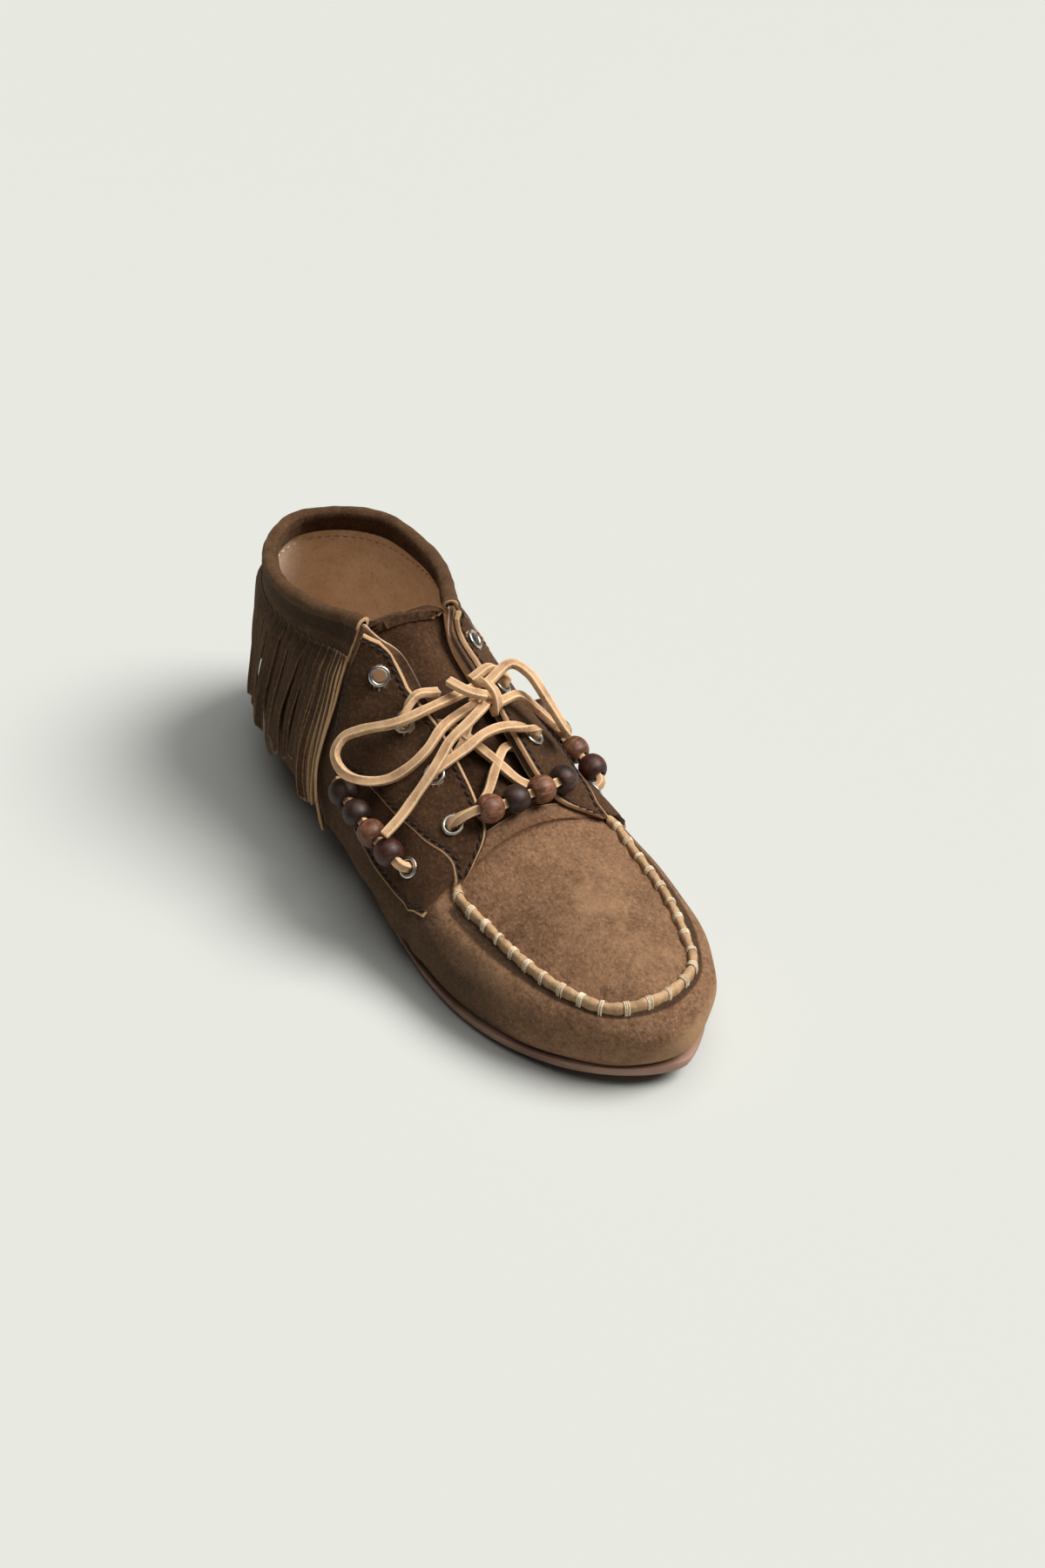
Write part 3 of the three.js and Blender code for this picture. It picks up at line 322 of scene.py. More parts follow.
END_LONG_ROUTE = (
    Reach(0.12, -0.08, 0.04),
    Reach(0.2, -0.3, -0.01),
    Reach(0.23, -0.5, -0.1),
    Reach(0.29, -0.64, -0.19),
    Reach(0.33, -0.76, -0.28),
    Reach(0.35, -0.91, -0.42),
    Reach(0.39, -1.1, -0.56),
    Reach(0.43, -1.28, -0.64),
)
END_SHORT_ROUTE = (
    Reach(0.13, -0.08, 0.133),
    Reach(0.05, -0.21, 0.18),
    Reach(-0.14, -0.29, 0.2),
)
BEAD_ROWS = (
    Over(11.8, -0.1, 8.4),
    Over(11.95, 0.1, 8.6),
    Over(11.95, 0.45, 8.6),
    Over(11.95, 0.8, 8.4),
    Over(11.8, 1.13, 7),
)
CROSS_ROWS = (
    Over(10.15, 0.85, 8.2),
    Over(10.15, 0.45, 8.6),
    Over(10.2, 0.12, 6.6),
)
KNOT_ROWS = (
    Over(9.02, -0.2, 4.4),
    Over(9.06, 0.2, 3.4),
)

NO_SIDE = Profile(0, 0, 0, 0, 0, 0)
HEEL_ROW = Section(0.006, 0.39, 0.72, Profile(0.033, 0.03, 0.006, 0.006, 0.006, 0.963), NO_SIDE)
TOE_ROW = Section(0.992, 0.69, 0.9, Profile(-0.035, 0.036, 0.045, 0.045, 0.045, 0.82), NO_SIDE)


def unit(vectors: Points) -> Points:
    """Vectors scaled to length one."""
    return vectors / np.maximum(np.linalg.norm(vectors, axis=-1, keepdims=True), 1e-12)


def ramp(x: Points | float, start: float, end: float) -> Points:
    """A smooth step from 0 at start to 1 at end."""
    t = np.clip((np.asarray(x, float) - start) / (end - start), 0.0, 1.0)
    return t * t * (3 - 2 * t)


def blend(a: Any, b: Any, t: Any) -> Any:
    """The value between a and b at share t."""
    return a + (b - a) * t


def hump(x: Points | float, middle: float, width: float) -> Points:
    """A soft hump of height 1 round a middle."""
    return np.exp(-(((x - middle) / width) ** 2))


def vary(number: Any, seed: float) -> Any:
    """A repeatable share between 0 and 1 for a number."""
    wave = np.sin(np.asarray(number, float) * 12.9898 + seed * 78.233) * 43758.5453
    return wave - np.floor(wave)


def curve_at(points: Points, t: Points, closed: bool = False) -> Points:
    """Places on a centripetal Catmull-Rom curve.

    Args:
        points: Guide points, shaped (..., count, 3), one set or one set for each t.
        t: Shares of the curve, shaped (...).
        closed: Whether the curve joins its start.

    Returns:
        The places, shaped (..., 3).
    """
    t = np.asarray(t, float)
    count = points.shape[-2]
    if closed:
        p = count * (t % 1.0)
        start = np.floor(p).astype(int)
        picks = [(start + k) % count for k in (-1, 0, 1, 2)]
        guides = points
    else:
        p = (count - 1) * np.clip(t, 0.0, 1.0)
        start = np.minimum(np.floor(p).astype(int), count - 2)
        first = 2 * points[..., :1, :] - points[..., 1:2, :]
        last = 2 * points[..., -1:, :] - points[..., -2:-1, :]
        guides = np.concatenate([first, points, last], axis=-2)
        picks = [start + k for k in range(4)]
    w = (p - start)[..., None]
    if guides.ndim == 2:
        x0, x1, x2, x3 = (guides[i] for i in picks)
    else:
        x0, x1, x2, x3 = (np.take_along_axis(guides, i[..., None, None], axis=-2)[..., 0, :] for i in picks)
    gaps = [np.sqrt(np.linalg.norm(b - a, axis=-1, keepdims=True)) for a, b in ((x0, x1), (x1, x2), (x2, x3))]
    mid = np.where(gaps[1] < 1e-4, 1.0, gaps[1])
    before = np.where(gaps[0] < 1e-4, mid, gaps[0])
    after = np.where(gaps[2] < 1e-4, mid, gaps[2])
    t1 = ((x1 - x0) / before - (x2 - x0) / (before + mid) + (x2 - x1) / mid) * mid
    t2 = ((x2 - x1) / mid - (x3 - x1) / (mid + after) + (x3 - x2) / after) * mid
    return x1 + w * (t1 + w * (-3 * x1 + 3 * x2 - 2 * t1 - t2 + w * (2 * x1 - 2 * x2 + t1 + t2)))


def distances(line: Points) -> Points:
    """How far along a polyline each of its points lies."""
    return np.concatenate([[0.0], np.cumsum(np.linalg.norm(np.diff(line, axis=0), axis=1))])


def between(marks: Any, ats: Points, line: Points) -> Points:
    """Places between the points of a line, for marks on the scale that ats gives its points."""
    return np.stack([np.interp(marks, ats, line[:, k]) for k in range(3)], axis=-1)


def even_run(points: Points, step: float, closed: bool = False) -> Points:
    """Places at even distances along a polyline.

    Args:
        points: The polyline.
        step: About how far apart the places are.
        closed: Whether the polyline joins its start.

    Returns:
        The places, the first and last points among them.
    """
    line = np.vstack([points, points[:1]]) if closed else points
    lengths = distances(line)
    count = max(2, int(round(lengths[-1] / step)) + 1)
    marks = np.linspace(0.0, lengths[-1], count)
    if closed:
        marks = marks[:-1]
    return between(marks, lengths, line)


class Crease(NamedTuple):
    """A soft fold in the wall, deep where depth is above 0 and a ridge below it, in millimetres."""

    side: Side
    start: tuple[float, float]
    end: tuple[float, float]
    bow: float
    depth: float
    width: float


@dataclass
class Last:
    """The boot's form: the wall round the foot and the surface over it, in millimetres.

    A place on the wall is a section from 0 at the heel to 19 at the toe, a side, and a share v up the wall.
    """

    length: float = LENGTH
    ball_width: float = 84.0
    collar_rise: float = 82.0
    instep_rise: float = 60.0
    seam_rise: float = 25.0
    heel_thickness: float = 7.0
    forefoot_thickness: float = 5.0
    arch_lift: float = 2.0
    toe_spring: float = 6.0
    wall: float = 2.0
    gap: float = 0.3
    sole_margin: float = 1.5
    toe_tip: float = 0.071
    sections: int = 19
    throat_foot: int = 12
    seam_start: int = 14
    plug_crown: float = 10.0
    throat_crown: float = 3.0
    tongue_depth: float = 4.2
    tuck_at: float = 0.86
    creases: Sequence[Crease] = ()
    rings: Points = field(init=False)
    folds: list[tuple[Points, float, float]] = field(init=False)

    def __post_init__(self) -> None:
        """Works out the guide rings and the creases' lines."""
        self.rings = self._guide_rings()
        self.folds = []
        for crease in self.creases:
            t = np.linspace(0.0, 1.0, 15)
            section = blend(crease.start[0], crease.end[0], t)
            v = blend(crease.start[1], crease.end[1], t) + crease.bow * np.sin(math.pi * t)
            line = self.point(self.share(section, crease.side), v)
            self.folds.append((line, crease.depth, crease.width))

    def sole_bottom(self, x: Points) -> Points:
        """Height of the sole's underside at x."""
        share = np.asarray(x, float) / self.length
        spring = np.maximum(0.0, (share - 0.7) / 0.3)
        arch = ramp(share, 0.25, 0.38) * (1 - ramp(share, 0.38, 0.5))
        return self.toe_spring * spring**2 + self.arch_lift * arch

    def sole_top(self, x: Points) -> Points:
        """Height of the sole's top face at x."""
        share = np.asarray(x, float) / self.length
        spring = np.maximum(0.0, (share - 0.7) / 0.3)
        thick = blend(self.heel_thickness, self.forefoot_thickness, ramp(share, 0.25, 0.6))
        return self.toe_spring * spring**2 + thick

    def sole_edge(self, x: float, side: Side) -> float:
        """Half width of the sole at x on one side."""
        lateral = side is Side.LATERAL
        ats = [0.0] + [row.at for row in OUTLINE_ROWS] + [1.0]
        outs = [0.0] + [row.lateral if lateral else row.medial for row in OUTLINE_ROWS]
        outs.append(-self.toe_tip if lateral else self.toe_tip)
        return self.ball_width * float(np.interp(np.clip(x / self.length, 0, 1), ats, outs))

    def outline(self, inset: float, count: int) -> Points:
        """The sole's outline in plan, moved in by an inset.

        Args:
            inset: How far the outline is moved in.
            count: How many points it has.

        Returns:
            The points, at height 0.
        """
        size = np.array([self.length, self.ball_width, 0.0])
        lateral = [np.array([row.at, -row.lateral, 0.0]) * size for row in OUTLINE_ROWS]
        medial = [np.array([row.at, row.medial, 0.0]) * size for row in OUTLINE_ROWS]
        tip = np.array([1.0, self.toe_tip, 0.0]) * size
        points = np.array([np.zeros(3), *lateral, tip, *medial[::-1]])
        along = unit(np.roll(points, -1, axis=0) - np.roll(points, 1, axis=0))
        moved = points + inset * np.stack([-along[:, 1], along[:, 0], np.zeros(len(points))], axis=1)
        return curve_at(moved, np.arange(count) / count, closed=True)

    def _section_guides(self, row: Section, side: Side, height: float) -> list[Points]:
        """The five guide points of one section on one side."""
        sign = -1 if side is Side.LATERAL else 1
        shape = row.lateral if side is Side.LATERAL else row.medial
        x = row.at * self.length
        floor = float(self.sole_top(x)) + self.gap
        rise = shape.rise * height
        lean = shape.lean * self.length
        foot = self.sole_edge(x, side) - self.sole_margin
        width = self.ball_width
        rows = (
            (0.0, foot, 0.0),
            (-0.15 * lean, foot + shape.bulge * width, 0.42 * row.low_at * rise),
            (-0.15 * lean, shape.low * width, row.low_at * rise),
            (0.4 * lean, shape.high * width, row.high_at * rise),
            (lean, shape.top * width, rise),
        )
        return [np.array([x + dx, sign * out, floor + up]) for dx, out, up in rows]

    def _centre_guides(self, row: Section, height: float, forward: int) -> list[Points]:
        """The guide points of a section on the centre line."""
        shape = row.lateral
        x = row.at * self.length
        floor = float(self.sole_top(x)) + self.gap
        rise = shape.rise * height
        lean = shape.lean * self.length
        bulge = forward * shape.bulge * self.ball_width
        rows = (
            (-forward * self.sole_margin * 0.5, 0.0),
            (bulge, 0.42 * row.low_at * rise),
            (bulge * 0.8, row.low_at * rise),
            (0.4 * lean, row.high_at * rise),
            (lean, rise),
        )
        return [np.array([x + dx, shape.low * self.ball_width, floor + up]) for dx, up in rows]

    def _guide_rings(self) -> Points:
        """The five closed rings that the wall runs through, shaped (5, count, 3)."""
        def sections(side: Side) -> list[list[Points]]:
            """The guides of all sections of one side."""
            rows = [(row, self.collar_rise) for row in COLLAR_ROWS]
            rows += [(row, self.instep_rise) for row in THROAT_ROWS]
            rows += [(row, self.seam_rise) for row in TOE_ROWS]
            return [self._section_guides(row, side, height) for row, height in rows]

        rows = [
            self._centre_guides(HEEL_ROW, self.collar_rise, -1),
            *sections(Side.LATERAL),
            self._centre_guides(TOE_ROW, self.seam_rise, 1),
            *sections(Side.MEDIAL)[::-1],
        ]
        return np.array(rows).transpose(1, 0, 2)

    @property
    def round(self) -> int:
        """How many sections it is all the way round the boot."""
        return 2 * self.sections

    def share(self, section: Any, side: Side) -> Any:
        """Share of the way round the boot of a section on a side."""
        turned = np.asarray(section, float)
        return (turned if side is Side.LATERAL else self.round - turned) / self.round

    def point(self, u: Any, v: Any) -> Points:
        """The plain wall at u round the boot and v up it."""
        u, v = np.broadcast_arrays(np.asarray(u, float), np.asarray(v, float))
        guides = np.stack([curve_at(ring, u, closed=True) for ring in self.rings], axis=-2)
        return curve_at(guides, v)

    def normal(self, u: Any, v: Any) -> Points:
        """The wall's outward direction."""
        u, v = np.broadcast_arrays(np.asarray(u, float), np.asarray(v, float))
        beside, above = 0.004, 0.016
        along = self.point(u + beside, v) - self.point(u - beside, v)
        up = self.point(u, np.minimum(1, v + above)) - self.point(u, np.maximum(0, v - above))
        return unit(np.cross(along, up))

    def plain(self, u: Any, v: Any, out: Any = 0.0) -> Points:
        """The plain wall moved out by a distance."""
        return self.point(u, v) + self.normal(u, v) * np.asarray(out, float)[..., None]

    def relief(self, places: Points) -> Points:
        """How far the worn leather stands off its plain form at these places."""
        x, y, z = places[..., 0], places[..., 1], places[..., 2]
        waves = 0.34 * np.sin(x / 9.1 + y / 13.0 + 0.7) * np.sin(z / 7.3 + x / 21.0)
        waves = waves + 0.22 * np.sin(x / 5.3 - z / 6.1 + 2.0) * np.sin(y / 8.7 + z / 11.0 + 1.3)
        height = waves
        for line, depth, width in self.folds:
            best = np.full(x.shape, 1e9)
            along = np.zeros(x.shape)
            for i, (a, b) in enumerate(zip(line[:-1], line[1:])):
                run = b - a
                t = np.clip(((places - a) @ run) / float(run @ run), 0.0, 1.0)
                distance = np.linalg.norm(places - (a + t[..., None] * run), axis=-1)
                nearer = distance < best
                best = np.where(nearer, distance, best)
                along = np.where(nearer, (i + t) / (len(line) - 1), along)
            fade = np.sqrt(np.maximum(0.0, np.sin(math.pi * np.clip(along, 0.02, 0.98))))
            near = best / width
            height = height - depth * fade * (hump(near, 0, 1) - 0.35 * hump(near, 1.7, 1))
        return height

    def skin(self, u: Any, v: Any, out: Any = 0.0) -> Points:
        """The worn wall moved out by a distance."""
        base = self.point(u, v)
        steady = ramp(v, 0.0, 0.1)
        return base + self.normal(u, v) * (self.relief(base) * steady + out)[..., None]

    def plug_height(self, section: Points) -> Points:
        """Crown of the surface over the foot at a section."""
        section = np.asarray(section, float)
        front = np.maximum(0.0, (self.sections - section) / (self.sections - self.seam_start))
        behind = np.maximum(0.0, section - self.throat_foot) / (self.seam_start - self.throat_foot)
        rising = blend(self.throat_crown, self.plug_crown, behind)
        return np.where(section > self.seam_start, self.plug_crown * np.sqrt(front) + 0.5, rising)

    def _bridge(self, section: Points, t: Points) -> Points:
        """The surface that spans the two tops of a section."""
        a = self.plain(self.share(section, Side.LATERAL), 1.0, -self.wall / 2)
        b = self.plain(self.share(section, Side.MEDIAL), 1.0, -self.wall / 2)
        p = a + (b - a) * t[..., None]
        p[..., 2] += self.plug_height(section) * 4 * t * (1 - t)
        return p

    def _lifted(self, surface: Callable[[Points, Points], Points], section: Any, t: Any, out: Any,
                step: float) -> Points:
        """Places on a surface, moved out by a distance.

        Args:
            surface: Gives the place of a section and a share.
            section: The sections.
            t: The shares.
            out: How far out the places are.
            step: How far apart the places are that give the surface's direction.

        Returns:
            The places.
        """
        section, t = (a.copy() for a in np.broadcast_arrays(np.asarray(section, float), np.asarray(t, float)))
        along = surface(section + step, t) - surface(section - step, t)
        side = surface(section, np.minimum(1, t + step)) - surface(section, np.maximum(0, t - step))
        return surface(section, t) + unit(np.cross(along, side)) * np.asarray(out, float)[..., None]

    def across(self, section: Any, t: Any, out: Any = 0.0) -> Points:
        """The surface over the foot, moved out by a distance."""
        return self._lifted(self._bridge, section, t, out, 0.02)

    def _tongue_point(self, section: Points, t: Points) -> Points:
        """The tongue's top face between its two tucked edges."""
        depth = -(self.wall + self.tongue_depth)
        drop = self.wall / 2 + self.tongue_depth
        guides = [
            self.plain(self.share(section, Side.LATERAL), self.tuck_at, depth),
            self.across(section, 0.06, -drop),
            self.across(section, 0.5, -drop + 0.8),
            self.across(section, 0.94, -drop),
            self.plain(self.share(section, Side.MEDIAL), self.tuck_at, depth),
        ]
        return curve_at(np.stack(guides, axis=-2), t)

    def tongue(self, section: Any, t: Any, out: Any = 0.0) -> Points:
        """The tongue's surface, moved out by a distance."""
        return self._lifted(self._tongue_point, section, t, out, 0.03)


@dataclass
class Shell:
    """Vertices and faces of a mesh with values for its materials to read, in millimetres."""

    points: Points
    faces: list[tuple[int, ...]]
    values: dict[str, Points] = field(default_factory=dict)

    def volume(self) -> float:
        """The volume inside the shell, below 0 if it is inside out."""
        fans = np.array([(f[0], f[i], f[i + 1]) for f in self.faces for i in range(1, len(f) - 1)])
        a, b, c = (self.points[fans[:, k]] for k in range(3))
        return float(np.sum(a * np.cross(b, c))) / 6

    def outward(self) -> Shell:
        """The shell with its faces turned out."""
        if self.volume() >= 0:
            return self
        return Shell(self.points, [face[::-1] for face in self.faces], self.values)


def joined(shells: Sequence[Shell]) -> Shell:
    """Many shells as one."""
    starts = np.concatenate([[0], np.cumsum([len(shell.points) for shell in shells])])
    faces: list[tuple[int, ...]] = []
    for start, shell in zip(starts, shells):
        faces += [tuple(i + int(start) for i in face) for face in shell.faces]
    values = {name: np.concatenate([shell.values[name] for shell in shells]) for name in shells[0].values}
    return Shell(np.vstack([shell.points for shell in shells]), faces, values)


def sheet_solid(top: Points, bottom: Points, keep: Points | None = None, wrap: bool = False,
                values: dict[str, Points] | None = None) -> Shell:
    """A closed sheet between two grids of points, open where quads are left out.

    Args:
        top: The outer grid, shaped (rows, columns, 3).
        bottom: The inner grid.
        keep: Which quads stay, shaped (rows, columns - 1) or one row less without wrap.
        wrap: Whether the last row joins the first.
        values: Values of the outer grid's points for the materials.

    Returns:
        The closed shell. Its "edge" value is 1 on cut edges.
    """
    rows, columns, _ = top.shape
    index = np.arange(rows * columns).reshape(rows, columns)
    if wrap:
        index = np.vstack([index, index[:1]])
    quads = np.stack([index[:-1, :-1], index[:-1, 1:], index[1:, 1:], index[1:, :-1]], axis=-1).reshape(-1, 4)
    if keep is not None:
        quads = quads[keep.reshape(-1)]
    back = rows * columns
    starts = quads.reshape(-1)
    ends = np.roll(quads, -1, axis=1).reshape(-1)
    size = 2 * back
    border = ~np.isin(starts * size + ends, ends * size + starts)
    starts, ends = starts[border], ends[border]
    rim = np.stack([ends, starts, starts + back, ends + back], axis=1)
    edge = np.zeros(back)
    edge[starts] = 1.0
    every = np.vstack([quads, quads[:, ::-1] + back, rim])
    used, renamed = np.unique(every, return_inverse=True)
    renamed = renamed.reshape(every.shape)
    points = np.vstack([top.reshape(-1, 3), bottom.reshape(-1, 3)])[used]
    carried = {"edge": np.concatenate([edge, edge])[used]}
    for name, grid in (values or {}).items():
        carried[name] = np.concatenate([grid.reshape(-1), grid.reshape(-1)])[used]
    carried["back"] = (used >= back).astype(float)
    return Shell(points, [tuple(int(i) for i in face) for face in renamed], carried).outward()


def loft(rows: Points, closed: bool = False, values: dict[str, Points] | None = None) -> Shell:
    """A closed skin over rows of points, each a closed loop.

    Args:
        rows: The loops, shaped (rows, count, 3).
        closed: Whether the last loop joins the first.
        values: Values of the loops' points for the materials.

    Returns:
        The shell, with its ends capped unless it is closed.
    """
    length, count, _ = rows.shape
    faces: list[tuple[int, ...]] = []
    for row in range(length if closed else length - 1):
        a, b = row * count, ((row + 1) % length) * count
        faces += [(a + i, a + (i + 1) % count, b + (i + 1) % count, b + i) for i in range(count)]
    if not closed:
        faces.append(tuple(range(count))[::-1])
        faces.append(tuple(range((length - 1) * count, length * count)))
    carried = {name: grid.reshape(-1) for name, grid in (values or {}).items()}
    return Shell(rows.reshape(-1, 3), faces, carried).outward()


def frames_along(path: Points, facing: Points) -> tuple[Points, Points, Points]:
    """Directions along, beside and above a path.

    Args:
        path: Places on the path.
        facing: About where its upper side looks, for each place.

    Returns:
        Unit vectors along the path, beside it and above it.
    """
    along = unit(np.gradient(path, axis=0))
    above = facing - along * np.sum(facing * along, axis=1, keepdims=True)
    above = unit(above)
    for i in range(1, len(path)):
        carried = above[i - 1] - along[i] * float(above[i - 1] @ along[i])
        mixed = 0.8 * carried + 0.2 * above[i]
        above[i] = mixed / max(1e-9, float(np.linalg.norm(mixed)))
    return along, np.cross(along, above), above


def tube(path: Points, radius: float, sides: int = 6) -> Shell:
    """A thin round thread along a path."""
    _, beside, above = frames_along(path, np.tile([0.3, 0.2, 1.0], (len(path), 1)))
    angles = np.arange(sides) / sides * 2 * math.pi
    ends = np.ones(len(path))
    ends[[0, -1]] = 0.55
    ring = (np.cos(angles)[None, :, None] * beside[:, None] + np.sin(angles)[None, :, None] * above[:, None])
    return loft(path[:, None] + radius * ends[:, None, None] * ring)


def revolved(place: Points, axis: Points, spokes: tuple[Points, Points],
             profile: Sequence[tuple[float, float]], steps: int, size: float = 1.0) -> Points:
    """Loops of points of a profile turned about an axis.

    Args:
        place: The middle.
        axis: The direction of the axis.
        spokes: Two directions square to it.
        profile: Distances from the axis and along it.
        steps: How many loops there are.
        size: How much larger the loops are than the profile.

    Returns:
        The loops, shaped (steps, count, 3).
    """
    angles = np.arange(steps) / steps * 2 * math.pi
    around = np.cos(angles)[:, None] * spokes[0] + np.sin(angles)[:, None] * spokes[1]
    return np.stack([[place + size * (spoke * r + axis * z) for r, z in profile] for spoke in around])


def stitches(places: Points, along: Points, above: Points, length: float, radius: float) -> Shell:
    """A row of short stitches that dip into the leather at their ends.

    Args:
        places: The stitches' middles.
        along: Their directions.
        above: Where the leather's face looks there.
        length: Length of a stitch.
        radius: Its radius.

    Returns:
        All stitches as one shell.
    """
    shells = []
    marks = np.linspace(-1, 1, 7)
    for middle, ahead, up in zip(places, along, above):
        bow = (1 - marks**2)[:, None] * up * radius * 1.3 - up * radius * 0.8
        shells.append(tube(middle + marks[:, None] * ahead * length / 2 + bow, radius))
    return joined(shells)


def add_object(name: str, data: bpy.types.ID) -> bpy.types.Object:
    """Adds an object to the scene."""
    obj = bpy.data.objects.new(name, data)
    bpy.context.scene.collection.objects.link(obj)
    return obj


class Piece:
    """Turns shells into Blender objects that ride on the boot."""

    @staticmethod
    def build(name: str, shell: Shell, material: bpy.types.Material, slot: str, stands_for: Sequence[str],
              sharp: float = 50.0) -> bpy.types.Object:
        """Makes one piece of the boot.

        Args:
            name: The piece's name.
            shell: Its mesh in millimetres.
            material: Its finish.
            slot: A material slot's name, which is not used.
            stands_for: The solids that it replaces.
            sharp: Faces that meet at more than this angle keep a hard edge, in degrees.

        Returns:
            The Blender object.
        """
        mesh = bpy.data.meshes.new(name)
        placed = (shell.points - np.array([ORIGIN_X, 0.0, 0.0])) * MM
        mesh.from_pydata(placed.tolist(), [], shell.faces)
        for value_name, numbers in shell.values.items():
            layer = mesh.attributes.new(name=value_name, type="FLOAT", domain="POINT")
            layer.data.foreach_set("value", np.ascontiguousarray(numbers, dtype=np.float32))
        mesh.validate()
        mesh.shade_smooth()
        mesh.set_sharp_from_angle(angle=math.radians(sharp))
        mesh.materials.append(material)
        obj = add_object(name, mesh)
        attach(obj, "root")
        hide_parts(*stands_for)
        log.info("%s: %d points", name, len(shell.points))
        return obj


class Value:
    """A socket of a material whose operators add Math nodes."""

    def __init__(self, paint: Paint, socket: bpy.types.NodeSocket) -> None:
        """Wraps a socket of a paint's tree."""
        self.paint = paint
        self.socket = socket

    def math(self, operation: str, *others: Any, first: Any = None) -> Value:
        """Adds a Math node.

        Args:
            operation: The node's operation.
            others: The other operands.
            first: What stands before this value, for reflected operators.

        Returns:
            The node's result.
        """
        operands = [self, *others] if first is None else [first, self]
        node = self.paint.node("ShaderNodeMath", dict(enumerate(operands)), operation=operation)
        return Value(self.paint, node.outputs[0])

    def __add__(self, other: Any) -> Value:
        """This plus other."""
        return self.math("ADD", other)

    __radd__ = __add__

    def __mul__(self, other: Any) -> Value:
        """This times other."""
        return self.math("MULTIPLY", other)

    __rmul__ = __mul__

    def __sub__(self, other: Any) -> Value:
        """This less other."""
        return self.math("SUBTRACT", other)

    def __rsub__(self, other: Any) -> Value:
        """Other less this."""
        return self.math("SUBTRACT", first=other)

    def step(self, low: float, high: float) -> Value:
        """A smooth step of this value between two limits."""
        node = self.paint.node(
            "ShaderNodeMapRange",
            {"Value": self, "From Min": low, "From Max": high, "To Min": 0.0, "To Max": 1.0},
            interpolation_type="SMOOTHSTEP",
        )
        return Value(self.paint, node.outputs[0])


class Paint:
    """A material under construction."""

    def __init__(self, name: str) -> None:
        """Starts an empty material."""
        self.material = bpy.data.materials.new(name)
        self.material.use_nodes = True
        self.tree = self.material.node_tree
        self.tree.nodes.clear()
        self.place = Value(self, self.node("ShaderNodeTexCoord").outputs["Object"])

    def node(self, kind: str, sockets: dict[Any, Any] | None = None, **settings: Any) -> bpy.types.Node:
        """Adds any node.

        Args:
            kind: The node's type.
            sockets: Values or links for its inputs, by name or number.
            settings: The node's own settings, which are set first.

        Returns:
            The node.
        """
        node = self.tree.nodes.new(kind)
        for name, setting in settings.items():
            setattr(node, name, setting)
        for name, value in (sockets or {}).items():
            if isinstance(value, Value):
                self.tree.links.new(value.socket, node.inputs[name])
            else:
                node.inputs[name].default_value = value
        return node

    def read(self, name: str) -> Value:
        """A value that the mesh carries at its points."""
        return Value(self, self.node("ShaderNodeAttribute", attribute_name=name).outputs["Fac"])

    def noise(self, scale: float, detail: float = 3.0, rough: float = 0.55, warp: float = 0.0,
              where: Value | None = None) -> Value:
        """Cloudy noise, scale features to a metre."""
        sockets = {"Vector": where or self.place, "Scale": scale, "Detail": detail, "Roughness": rough,
                   "Distortion": warp}
        return Value(self, self.node("ShaderNodeTexNoise", sockets).outputs["Fac"])

    def stretched(self, x: float, y: float, z: float) -> Value:
        """The place scaled along each axis, for grain that runs one way."""
        node = self.node("ShaderNodeVectorMath", {0: self.place, 1: (x, y, z)}, operation="MULTIPLY")
        return Value(self, node.outputs[0])

    def mix(self, a: Value | Colour, b: Value | Colour, factor: Value | float) -> Value:
        """Colour a turned towards colour b by a factor."""
        sockets = {
            0: factor,
            6: a if isinstance(a, Value) else (*a, 1.0),
            7: b if isinstance(b, Value) else (*b, 1.0),
        }
        node = self.node("ShaderNodeMix", sockets, data_type="RGBA")
        return Value(self, node.outputs[2])

    def bump(self, height: Value, distance: float, strength: float,
             under: Value | None = None) -> Value:
        """Surface relief of a height, distance metres deep."""
        sockets: dict[str, Any] = {"Height": height, "Distance": distance, "Strength": strength}
        if under is not None:
            sockets["Normal"] = under
        return Value(self, self.node("ShaderNodeBump", sockets).outputs[0])

    def finish(self, sockets: dict[str, Any]) -> bpy.types.Material:
        """Joins the shader to its sockets and the output."""
        shader = self.node("ShaderNodeBsdfPrincipled", sockets)
        self.node("ShaderNodeOutputMaterial", {"Surface": Value(self, shader.outputs[0])})
        return self.material


def tint(code: str) -> Colour:
    """A colour from its hexadecimal screen code, in linear light."""
    shares = [int(code[i:i + 2], 16) / 255 for i in (0, 2, 4)]
    red, green, blue = (c / 12.92 if c <= 0.04045 else ((c + 0.055) / 1.055) ** 2.4 for c in shares)
    return red, green, blue


@dataclass(frozen=True)
class Finish:
    """A material's name and its screen colours: the body, the dark places and the light ones."""

    name: str
    base: str
    dark: str
    light: str


